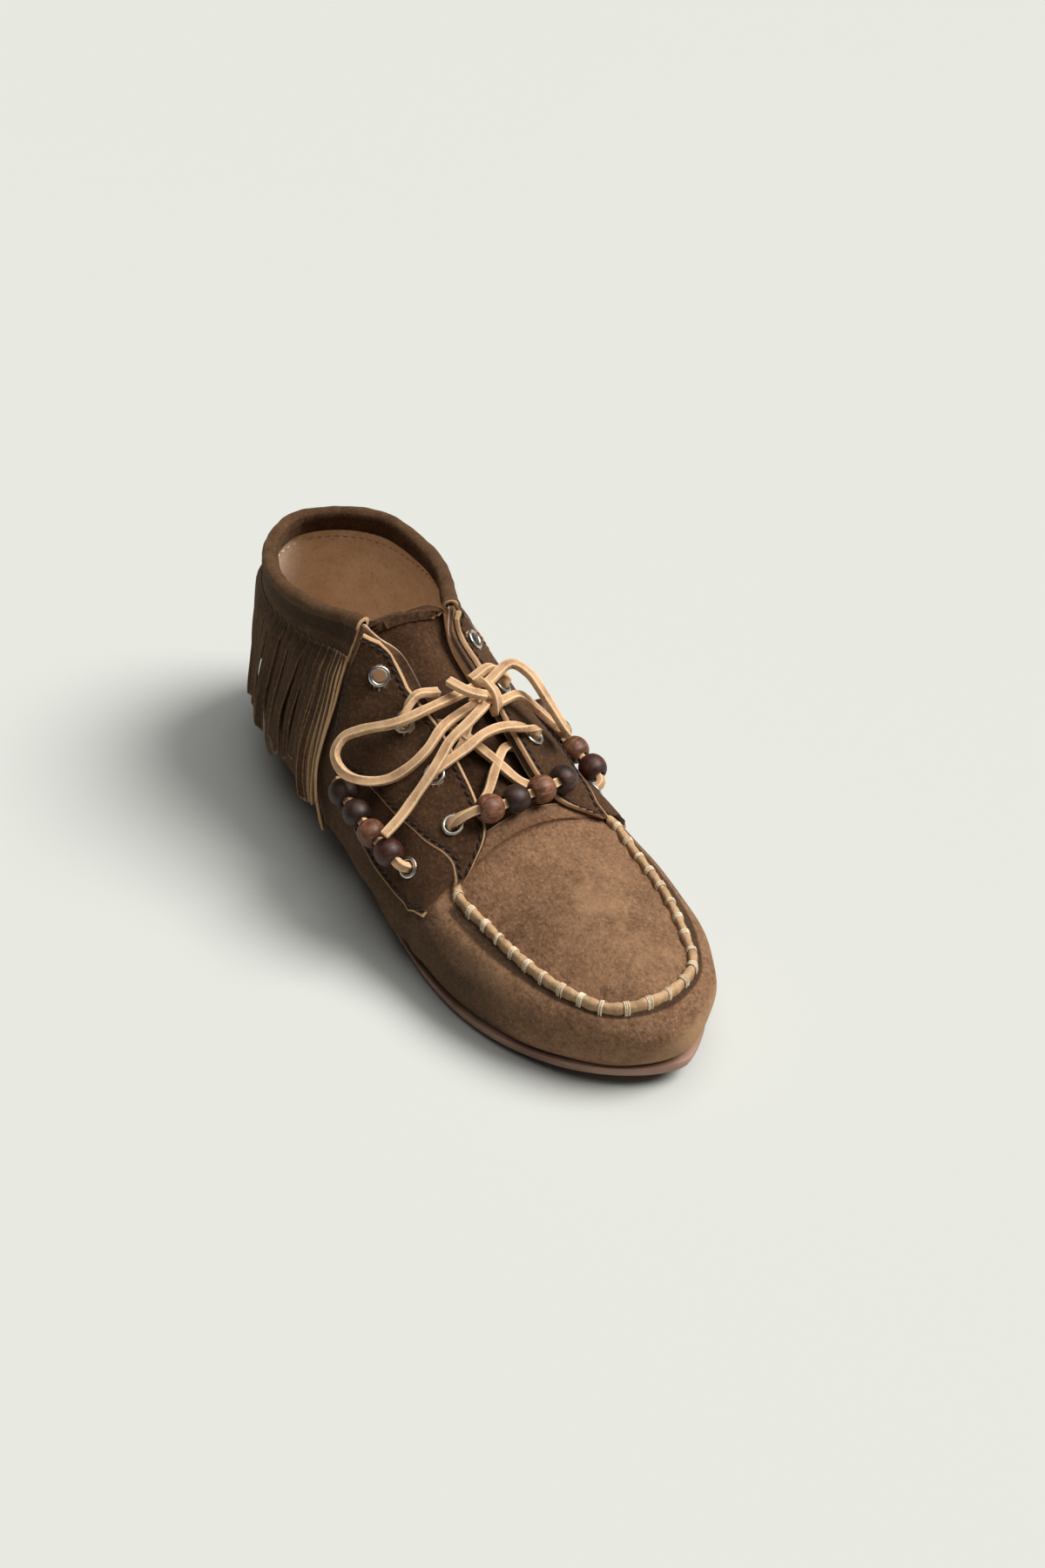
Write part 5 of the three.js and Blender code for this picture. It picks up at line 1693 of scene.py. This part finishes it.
@dataclass
class Cuff:
    """The band rolled over the collar and the fringe cut into it."""

    last: Last
    finishes: Finishes
    front: float = 5.85
    band_at: float = 0.86
    thickness: float = 1.35
    strips: int = 50
    strip_width: float = 4.3
    side_columns: int = 190
    strip_rows: int = 26

    def build_roll(self) -> None:
        """Makes the rolled rim."""
        section = np.linspace(self.front, 0, self.side_columns)
        shares = [self.last.share(section, Side.LATERAL), self.last.share(section[::-1], Side.MEDIAL)[1:]]
        u = np.concatenate(shares) % 1.0
        rim = self.last.plain(u, 1.0, -self.last.wall / 2)
        normal = self.last.normal(u, 1.0)
        up = unit(self.last.point(u, 1.0) - self.last.point(u, 0.96))
        number = np.arange(len(u))
        puff = 0.12 * np.sin(number / 9.0) + 0.07 * np.sin(number / 3.1 + 1) + 0.04 * np.sin(number / 1.7)
        outer = self.last.wall / 2 + self.last.gap + self.thickness + puff
        inner = self.last.wall / 2 + 2 * self.last.gap
        turns = np.linspace(-0.75, math.pi + 0.5, 20)
        low = [self.last.plain(u, v, self.last.gap + self.thickness * thick)
               for v, thick in ((self.band_at, 0.7), (0.885, 0.8), (0.91, 0.75), (0.935, 0.6))]
        arc = [rim + (normal * math.cos(a) + up * math.sin(a)) * (outer * 1.1)[:, None] for a in turns]
        inside = [self.last.plain(u, v, -self.last.wall - self.last.gap - self.thickness * thick)
                  for v, thick in ((0.945, 0.9), (0.93, 0.8))]
        back = [self.last.plain(u, 0.93, -self.last.wall - 2 * self.last.gap)]
        under = [rim + normal * (inner * math.cos(a)) + up * (inner * math.sin(a)) for a in turns[::-3]]
        foot = [self.last.plain(u, v, self.last.gap) for v in (0.93, self.band_at)]
        rows = np.stack([*low, *arc, *inside, *back, *under, *foot], axis=1)
        count = rows.shape[1]
        wear_and_highlight = np.zeros((len(u), count))
        # The roll's top is paler: partly rub on the rim, partly a painted highlight.
        wear_and_highlight[:, 6:18] = 0.5
        edge = np.zeros((len(u), count))
        edge[[0, 1, -2, -1]] = 1.0
        shade_and_grime = np.zeros((len(u), count))
        # Painted shade inside and under the roll, and in the fold just below it.
        shade_and_grime[:, 24:] = 0.5
        shade_and_grime[:, 3:5] = 0.7
        shell = loft(rows, values={"wear_and_highlight": wear_and_highlight, "edge": edge, "shade_and_grime": shade_and_grime})
        Piece.build("collar_roll", shell, self.finishes.dark_suede, "dark_suede", ("fringe_cuff",), sharp=80)

    def strip(self, number: int) -> Shell:
        """One strip of the fringe, from the band down along the wall.

        Args:
            number: The strip's place round the collar.

        Returns:
            The strip's shell.
        """
        share = number / (self.strips - 1)
        side = Side.LATERAL if share < 0.5 else Side.MEDIAL
        top = (self.front - 0.22) * abs(1 - 2 * share) ** 0.85
        ahead = float(ramp(top, 4.2, self.front))
        forward = 1 + 0.36 * ahead
        end = float(blend(0.24, 0.44, vary(number, 1))) + 0.03 * float(ramp(top, 2, 5)) - 0.05 * ahead
        twist = float(vary(number, 2) - 0.5) * (1.3 + 0.6 * ahead)
        down = np.linspace(0, 1, self.strip_rows)
        v = blend(self.band_at + 0.02, end, down)
        sway = float(vary(number, 4) - 0.5) * 0.22 * np.sin(down * (2.2 + 2 * vary(number, 5)))
        section = np.clip(top * blend(1.0, forward, down**1.25) + sway * ramp(down, 0.1, 0.9), 0.02, 8.9)
        width = self.strip_width * blend(1.0, 0.72 + 0.2 * vary(number, 6), down) * (0.95 - 0.3 * ahead)
        angle = twist * down**1.2
        layer = (0.9 * (number % 3) / 2 + 0.8 * float(vary(number, 3))) * (1 - 0.6 * ahead)
        lift = 1.15 + ramp(down, 0, 0.2) * (0.8 + layer) + np.abs(np.sin(angle)) * width / 2
        lift = lift + 0.5 * np.sin(down * 5 + number) * down
        u = self.last.share(section, side)
        path = self.last.plain(u, v, lift)
        normal = self.last.normal(u, v)
        along = unit(np.gradient(path, axis=0))
        beside = unit(np.cross(along, normal))
        turned = beside * np.cos(angle)[:, None] + normal * np.sin(angle)[:, None]
        face = unit(np.cross(turned, along))
        cup = 0.35 * float(vary(number, 7) - 0.3)
        columns = np.array([-1.0, -0.86, -0.3, 0.3, 0.86, 1.0])
        ragged = float(vary(number, 8) - 0.5) * 2.6
        slant = ramp(down, 0.8, 1.0)[:, None] * ragged * columns[None]
        spot = path[:, None] + turned[:, None] * (columns[None] * width[:, None] / 2)[..., None]
        spot = spot + along[:, None] * slant[..., None] + face[:, None] * (cup * columns**2)[None, :, None]
        thick = np.array([0.28, 0.5, 0.55, 0.55, 0.5, 0.28])
        half = face[:, None] * thick[None, :, None]
        cut = np.tile((np.abs(columns) > 0.8) * (0.35 + 0.65 * ahead), (self.strip_rows, 1))
        cut[-1] = 0.6
        wear_and_highlight = np.tile(0.25 * float(vary(number, 9)) + 0.15 * down[:, None], (1, len(columns)))
        # Painted shade at each strip's top under the roll and on the strips further back.
        shade_and_grime = np.tile(0.5 * (1 - ramp(down, 0.0, 0.12))[:, None] + 0.42 * (1 - ahead), (1, len(columns)))
        return sheet_solid(spot + half, spot - half, values={"cut": cut, "wear_and_highlight": wear_and_highlight, "shade_and_grime": shade_and_grime})

    def build_fringe(self) -> None:
        """Makes all strips."""
        whole = joined([self.strip(number) for number in range(self.strips)])
        whole.values["edge"] = np.maximum(whole.values["edge"] * 0.55, whole.values.pop("cut"))
        Piece.build("fringe_strips", whole, self.finishes.dark_suede, "dark_suede", ("fringe_cuff",))

    def build(self) -> None:
        """Makes the rim and the fringe."""
        self.build_roll()
        self.build_fringe()


@dataclass
class Tongue:
    """The tongue between the facings."""

    last: Last
    finishes: Finishes
    thickness: float = 1.8
    rows: int = 120
    columns: int = 44

    def build(self) -> None:
        """Makes the tongue with its paler top edge and painted shade on its front part."""
        ats = [row.section for row in TONGUE_ROWS]
        section = np.linspace(ats[0], ats[-1], self.rows)
        start = np.interp(section, ats, [row.low for row in TONGUE_ROWS])
        end = np.interp(section, ats, [row.high for row in TONGUE_ROWS])
        t = np.linspace(0, 1, self.columns)
        across = blend(start[:, None], end[:, None], t[None])
        fade = 1 - ramp(section, 5.4, 7.0)
        rows = section[:, None] + (0.3 * (np.abs(2 * t - 1) ** 3)[None] - 0.34) * fade[:, None]
        base = self.last.tongue(rows, across)
        waves = 0.35 * np.sin(base[..., 0] / 6.3 + base[..., 1] / 5.1) * np.sin(base[..., 1] / 4.0 + 1.0)
        top = self.last.tongue(rows, across, waves)
        bottom = self.last.tongue(rows, across, -self.thickness)
        cut = np.broadcast_to((1 - ramp(np.arange(self.rows), 1, 4))[:, None], across.shape)
        # Painted shade on the tongue's front part, deep in the throat under the lacing.
        shade_and_grime = np.broadcast_to(ramp(section, 7.5, 10.0)[:, None] * 0.5, across.shape)
        wear_and_highlight = np.broadcast_to(fade[:, None] * 0.45, across.shape)
        shell = sheet_solid(top, bottom, values={"cut": cut, "shade_and_grime": shade_and_grime, "wear_and_highlight": wear_and_highlight})
        shell.values["edge"] = np.maximum(shell.values["edge"], shell.values.pop("cut"))
        Piece.build("tongue_suede", shell, self.finishes.dark_suede, "dark_suede", ("tongue",))


@dataclass
class Sole:
    """The thin rubber sole and the sock inside the boot."""

    last: Last
    finishes: Finishes
    around: int = 320
    sock_clear: float = 1.9

    def plate(self, levels: Sequence[tuple[float, Callable[[Points], Points]]]) -> Shell:
        """A plate made of rings in plan.

        Args:
            levels: Each ring's inset and its height along the boot.

        Returns:
            The closed shell.
        """
        rings = []
        for inset, height in levels:
            ring = self.last.outline(inset, self.around)
            ring[:, 2] = height(np.clip(ring[:, 0], 0, self.last.length))
            rings.append(ring)
        rows = np.stack(rings)
        count = self.around
        faces: list[tuple[int, ...]] = []
        for r in range(len(rings) - 1):
            faces += [(r * count + i, r * count + (i + 1) % count, (r + 1) * count + (i + 1) % count,
                       (r + 1) * count + i) for i in range(count)]
        for offset, turned in ((0, False), ((len(rings) - 1) * count, True)):
            for i in range(count // 2):
                c, d = (count - i - 1) % count, (count - i) % count
                loop = tuple(dict.fromkeys((offset + i, offset + i + 1, offset + c, offset + d)))
                if len(loop) > 2:
                    faces.append(loop if turned else loop[::-1])
        # The lower rings are darker: painted shade at the sock's rim by the wall; on the sole, darker rubber
        # towards the floor.
        shade_and_grime = np.repeat(1 - ramp(np.arange(len(rings)) / (len(rings) - 1), 0.05, 0.45), count)
        return Shell(rows.reshape(-1, 3), faces, {"shade_and_grime": shade_and_grime}).outward()

    def build(self) -> None:
        """Makes the sole and the sock."""
        def level(share: float) -> Callable[[Points], Points]:
            """Heights at a share of the sole's thickness."""
            return lambda x: blend(self.last.sole_bottom(x), self.last.sole_top(x), share)

        profile = ((6.0, 0.0), (2.6, 0.0), (1.5, 0.06), (0.75, 0.2), (0.25, 0.42), (0.02, 0.62), (0.0, 0.8),
                   (0.18, 0.93), (0.7, 0.995), (2.4, 1.0), (5.0, 1.0))
        Piece.build("sole_rubber", self.plate([(inset, level(share)) for inset, share in profile]),
                    self.finishes.rubber, "sole_rubber", ("outsole",), sharp=35)
        inset = self.last.sole_margin + self.last.wall + self.sock_clear
        heights = [(inset, 0.3), (inset - 0.3, 1.2), (inset - 0.3, 2.6), (inset + 0.2, 3.2), (inset + 2, 3.3)]
        levels = [(i, (lambda up: lambda x: self.last.sole_top(x) + up)(up)) for i, up in heights]
        Piece.build("sock", self.plate(levels), self.finishes.lining, "lining", ("insole",), sharp=35)


@dataclass
class Eyelets:
    """The metal rings of the lace holes."""

    holes: Holes
    finishes: Finishes
    outer: float = 3.8
    inner: float = 2.45
    rim: float = 0.75
    barrel: float = 3.0
    steps: int = 44

    def ring(self, place: Points, normal: Points) -> Shell:
        """One eyelet with its barrel, which gets painted shade."""
        skirt = self.inner + 0.3
        low = -self.barrel
        profile = [(self.inner, low), (skirt, low), (skirt, -0.15), (self.outer - 0.1, -0.15)]
        middle = (self.outer + self.inner) / 2
        half = (self.outer - self.inner) / 2
        for angle in np.linspace(-0.3, math.pi, 9):
            rise = self.rim * 0.35 + self.rim * 0.6 * math.sin(angle)
            profile.append((middle + half * math.cos(angle), rise))
        side = unit(np.cross(normal, np.array([0.0, 0.0, 1.0])))
        rows = revolved(place, normal, (side, np.cross(side, normal)), profile, self.steps)
        # Painted shade on the barrel below the leather's face.
        dark = np.tile([1.0 if z < -1 else 0.0 for _, z in profile], (self.steps, 1))
        return loft(rows, closed=True, values={"shade_and_grime": dark})

    def height(self, hole: tuple[float, float], side: Side, thickness: float) -> float:
        """How far off the wall an eyelet sits, clear of the leather round it."""
        place, normal = self.holes.seat(hole, side)
        reach = np.array([-1, -0.5, 0, 0.5, 1])
        top = LEATHER_SEAT + thickness
        ahead, above = np.meshgrid(reach, reach, indexing="ij")
        u = self.holes.last.share(hole[0] + ahead * 0.5, side)
        near = self.holes.last.plain(u, hole[1] + above * 0.1, top) - place
        height = near @ normal
        sideways = np.linalg.norm(near - height[..., None] * normal, axis=-1)
        return float(np.max(np.where(sideways < self.outer + 0.3, height, top))) + 0.3

    def build(self) -> None:
        """Makes all ten eyelets."""
        for side in Side:
            throat = enumerate(self.holes.throat, 1)
            seats = [(f"eyelet_{side.value}_{number}", hole, FACING_THICKNESS) for number, hole in throat]
            seats.append((f"side_eyelet_{side.value}", self.holes.side, STRIP_THICKNESS))
            for node, hole, thickness in seats:
                shell = self.ring(*self.holes.seat(hole, side, self.height(hole, side, thickness)))
                Piece.build(f"{node}_ring", shell, self.finishes.metal, "eyelet_metal", (node,))


@dataclass
class Lacing:
    """The leather lace: its bars, the bow and the beaded side laces."""

    last: Last
    holes: Holes
    finishes: Finishes
    width: float = 3.3
    depth: float = 2.7
    reach: float = 40.0
    bead: float = 10.0
    bead_half: float = 4.25
    bead_steps: int = 40
    bore: float = 1.9
    side_start: float = 17.0
    bar_start: float = 23.7
    corners: int = 20
    inside: tuple[float, float, float] = (120.0, 0.0, 20.0)

    @property
    def knot(self) -> Points:
        """The knot's middle."""
        last = self.last
        return np.array([0.513 * last.length, 0.092 * last.ball_width, 1.29 * last.instep_rise])

    def hole(self, number: int, side: Side, out: float) -> Points:
        """A place in or over a throat hole."""
        return self.holes.seat(self.holes.throat[number - 1], side, out)[0]

    def go_out(self, number: int, side: Side) -> list[Points]:
        """The lace's way out through a hole."""
        low = -self.last.wall - self.last.tongue_depth / 2
        return [self.hole(number, side, out) for out in (low, 0.0, 4.6)]

    def over(self, row: Over) -> Points:
        """A place over the throat."""
        a = self.last.point(self.last.share(row.section, Side.LATERAL), 1.0)
        b = self.last.point(self.last.share(row.section, Side.MEDIAL), 1.0)
        return a + (b - a) * row.t + np.array([0.0, 0.0, row.lift])

    def under(self, section: float, t: float) -> Points:
        """A place between the tongue and the facings."""
        return self.last.tongue(section, t, self.last.tongue_depth / 2 + 0.8)

    def smooth(self, route: Sequence[Points], step: float = 0.9) -> Points:
        """Even places on the curve through a route."""
        return even_run(curve_at(np.array(route), np.linspace(0, 1, 900)), step)

    def strap(self, path: Points) -> Shell:
        """The square lace along a path.

        Args:
            path: Even places on its middle.

        Returns:
            The lace's shell, with its grooved face looking out of the boot.
        """
        _, beside, above = frames_along(path, unit(path - np.array(self.inside)))
        number = np.arange(len(path))
        angles = (np.arange(self.corners) + 0.5) / self.corners * 2 * math.pi
        cos, sin = np.cos(angles), np.sin(angles)
        wide = np.sign(cos) * np.abs(cos) ** 0.45 * self.width / 2
        high = np.sign(sin) * np.abs(sin) ** 0.45 * self.depth / 2
        top = (sin > 0.75) * hump(cos, 0, 0.35)
        high = high - 0.32 * top
        swell = 1 + 0.035 * np.sin(number / 3.7) + 0.03 * np.sin(number / 1.9 + 1)
        rows = path[:, None] + swell[:, None, None] * (wide[None, :, None] * beside[:, None])
        rows = rows + high[None, :, None] * above[:, None]
        corner = np.clip(np.abs(cos * sin) * 2.0, 0, 1) ** 3
        # The groove value marks the lace's groove for painted shade; the corner value makes its corners paler
        # and fuzzy.
        worn = {"edge": corner, "groove": top}
        return loft(rows, values={name: np.tile(value, (len(path), 1)) for name, value in worn.items()})

    def from_knot(self, rows: Sequence[Reach]) -> list[Points]:
        """A bow route's places."""
        return [self.knot + self.reach * np.array(row) for row in rows]

    def cord(self, name: str, node: str, rows: Sequence[Reach]) -> None:
        """Makes a loop or end of the bow.

        Args:
            name: The piece's name.
            node: The solid that it replaces.
            rows: Its route.
        """
        path = self.smooth(self.from_knot(rows))
        piece = Piece.build(name, self.strap(path), self.finishes.lace, "lace_leather", (node,))
        self.width * MM

    def build_bow(self) -> None:
        """Makes the knot, the two loops and the two ends."""
        wrap = self.strap(self.smooth(self.from_knot(KNOT_ROUTE)))
        stub = self.strap(self.smooth(self.from_knot(END_SHORT_ROUTE)))
        inner = [self.knot + np.array(p) for p in ((-3.4, -4.2, -1.6), (0.2, -0.4, 0.2), (3.0, 4.2, -1.2))]
        cross = [self.knot + np.array(p) for p in ((3.4, -4.6, 0.2), (0.4, 0.2, -1.4), (-3.2, 4.4, 0.6))]
        shells = [wrap, stub, self.strap(self.smooth(inner)), self.strap(self.smooth(cross))]
        knot = Piece.build("bow_knot", joined(shells), self.finishes.lace, "lace_leather",
                           ("lace_knot", "lace_end_short"))
        self.cord("bow_loop_left", "lace_loop_left", LOOP_LEFT_ROUTE)
        self.cord("bow_loop_right", "lace_loop_right", LOOP_RIGHT_ROUTE)
        self.cord("bow_end_long", "lace_end_long", END_LONG_ROUTE)

    def bead_bar(self) -> list[Points]:
        """The route of the lowest bar, which carries beads."""
        return [*self.go_out(4, Side.LATERAL), *(self.over(row) for row in BEAD_ROWS),
                *self.go_out(4, Side.MEDIAL)[::-1]]

    def build_bars(self) -> None:
        """Makes the lace through the throat's eyelets."""
        left, right = Side.LATERAL, Side.MEDIAL
        mirrored = [row._replace(t=1 - row.t) for row in KNOT_ROWS]
        low = -self.last.wall - self.last.tongue_depth / 2
        routes = (
            self.bead_bar(),
            [self.hole(4, left, low), self.under(11, 0.3), self.under(10.6, 0.5), self.under(10.2, 0.72),
             *self.go_out(3, right), *(self.over(row) for row in CROSS_ROWS), *self.go_out(3, left)[::-1]],
            [self.hole(3, left, low), self.under(9.9, 0.3), self.under(9.6, 0.5), self.under(9.3, 0.72),
             *self.go_out(2, right), *(self.over(row) for row in mirrored)],
            [self.hole(4, right, low), self.under(11, 0.7), self.under(10.3, 0.5), self.under(9.5, 0.28),
             *self.go_out(2, left), *(self.over(row) for row in KNOT_ROWS)],
        )
        shells = [self.strap(self.smooth(route)) for route in routes]
        Piece.build("throat_lace", joined(shells), self.finishes.lace, "lace_leather", ("lace_bars",))

    def side_route(self, side: Side) -> list[Points]:
        """The route of the beaded lace along one side."""
        inner = side is Side.MEDIAL
        rows = (
            (11.2, 0.637, -4.5),
            (11.2, 0.637, 1.0),
            (11.1, 0.637, 6.2),
            (10.55, 0.63, 7.2),
            (9.9, 0.61, 7.2),
            (9.4, 0.595, 7.4 if inner else 7.2),
            (8.9, 0.585, 7.8 if inner else 7.2),
            (8.45, 0.58, 6.8 if inner else 6.2),
        )
        return [self.holes.seat((section, v), side, out)[0] for section, v, out in rows]

    def bead_shell(self, place: Points, axis: Points, number: int) -> Shell:
        """One turned bead round the lace, with painted shade in its bore."""
        side = unit(np.cross(axis, np.array([0.31, 0.2, 1.0])))
        hole, half = self.bore, self.bead_half
        profile = [(hole, -half + 0.25), (hole + 0.25, -half)]
        full = 1.1
        for angle in np.linspace(-full, full, 17):
            round_off = math.cos(angle) ** 0.8
            profile.append((self.bead / 2 * round_off, half * 1.02 * math.sin(angle) / math.sin(full)))
        profile += [(hole + 0.25, half), (hole, half - 0.25)]
        size = 1 + 0.03 * float(vary(number, 11) - 0.5)
        rows = revolved(place, axis, (side, np.cross(axis, side)), profile, self.bead_steps, size)
        # Painted shade in the bore and on its rounded mouth.
        dark = [1.0 if r < hole + 0.1 else (0.5 if r < hole + 0.7 else 0.0) for r, _ in profile]
        shade_and_grime = np.tile(dark, (self.bead_steps, 1))
        return loft(rows, closed=True, values={"shade_and_grime": shade_and_grime})

    def thread_beads(self, route: Sequence[Points], start: float, names: Sequence[str],
                     tones: Sequence[Tone]) -> None:
        """Puts beads on a lace.

        Args:
            route: The lace's route.
            start: Where the first bead sits along it.
            names: The solids that the beads replace.
            tones: The beads' woods.
        """
        path = self.smooth(route, 0.25)
        marks = distances(path)
        for i, (node, tone) in enumerate(zip(names, tones)):
            at = start + i * (self.bead + self.last.gap)
            place = between(at, marks, path)
            shell = self.bead_shell(place, unit(between(at + 1, marks, path) - place), i)
            Piece.build(f"{node}_wood", shell, self.finishes.woods[tone], f"bead_{tone.value}", (node,))

    def build_sides(self) -> None:
        """Makes the side laces and all beads."""
        tones = (Tone.RED, Tone.LIGHT, Tone.DARK, Tone.LIGHT)
        looks = (Tone.RED, Tone.LIGHT, Tone.DARK, Tone.DARK)
        for side in Side:
            route = self.side_route(side)
            shell = self.strap(self.smooth(route))
            name = f"side_lace_{side.value}"
            Piece.build(f"{name}_thong", shell, self.finishes.lace, "lace_leather", (name,))
            names = [f"bead_{side.value}_{i}_{tone.value}" for i, tone in enumerate(tones, 1)]
            self.thread_beads(route, self.side_start, names, looks)
        bar = (Tone.LIGHT, Tone.DARK, Tone.LIGHT, Tone.DARK)
        names = [f"bead_bar_{i}_{tone.value}" for i, tone in enumerate(bar, 1)]
        self.thread_beads(self.bead_bar(), self.bar_start, names, bar)

    def build(self) -> None:
        """Makes the whole lacing."""
        self.build_bow()
        self.build_bars()
        self.build_sides()


CREASES = (
    Crease(Side.LATERAL, (12.2, 0.10), (13.6, 0.42), 0.03, 0.9, 3.2),
    Crease(Side.LATERAL, (11.3, 0.06), (12.4, 0.36), -0.03, 0.7, 3.0),
    Crease(Side.LATERAL, (9.2, 0.12), (11.0, 0.28), 0.06, 0.9, 4.0),
    Crease(Side.LATERAL, (8.0, 0.30), (9.6, 0.40), -0.04, 0.8, 4.2),
    Crease(Side.LATERAL, (14.4, 0.25), (16.0, 0.55), 0.05, -0.7, 5.0),
    Crease(Side.MEDIAL, (12.0, 0.12), (13.4, 0.5), 0.03, 0.9, 3.4),
    Crease(Side.MEDIAL, (10.6, 0.08), (12.2, 0.4), -0.03, 0.8, 3.4),
    Crease(Side.MEDIAL, (8.4, 0.2), (10.2, 0.38), 0.05, 0.8, 4.2),
    Crease(Side.LATERAL, (2.2, 0.3), (5.0, 0.36), 0.05, 0.7, 4.6),
    Crease(Side.MEDIAL, (2.4, 0.26), (5.2, 0.34), -0.05, 0.7, 4.6),
    Crease(Side.LATERAL, (16.6, 0.3), (18.3, 0.45), 0.06, 0.5, 4.6),
)


def main() -> None:
    """Builds the boot's pieces in order."""
    logging.basicConfig(level=logging.INFO, format="%(name)s: %(message)s")
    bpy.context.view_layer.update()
    PhotoCamera().build()
    last = Last(creases=CREASES)
    holes = Holes(last)
    finishes = Finishes.make()
    Lacing(last, holes, finishes).build()
    Studio().build()
    Upper(last, holes, finishes).build()
    for side in Side:
        Overlay(last, holes, finishes, f"facing_{side.value}", f"eyestay_{side.value}", side, FACING_ROWS,
                holes.throat, FACING_THICKNESS).build()
        Overlay(last, holes, finishes, f"side_strip_{side.value}", f"quarter_{side.value}", side,
                QUARTER_ROWS, (holes.side,), STRIP_THICKNESS, tucked=True).build()
    Cuff(last, finishes).build()
    Tongue(last, finishes).build()
    Sole(last, finishes).build()
    Eyelets(holes, finishes).build()


if __name__ == "__main__":
    main()
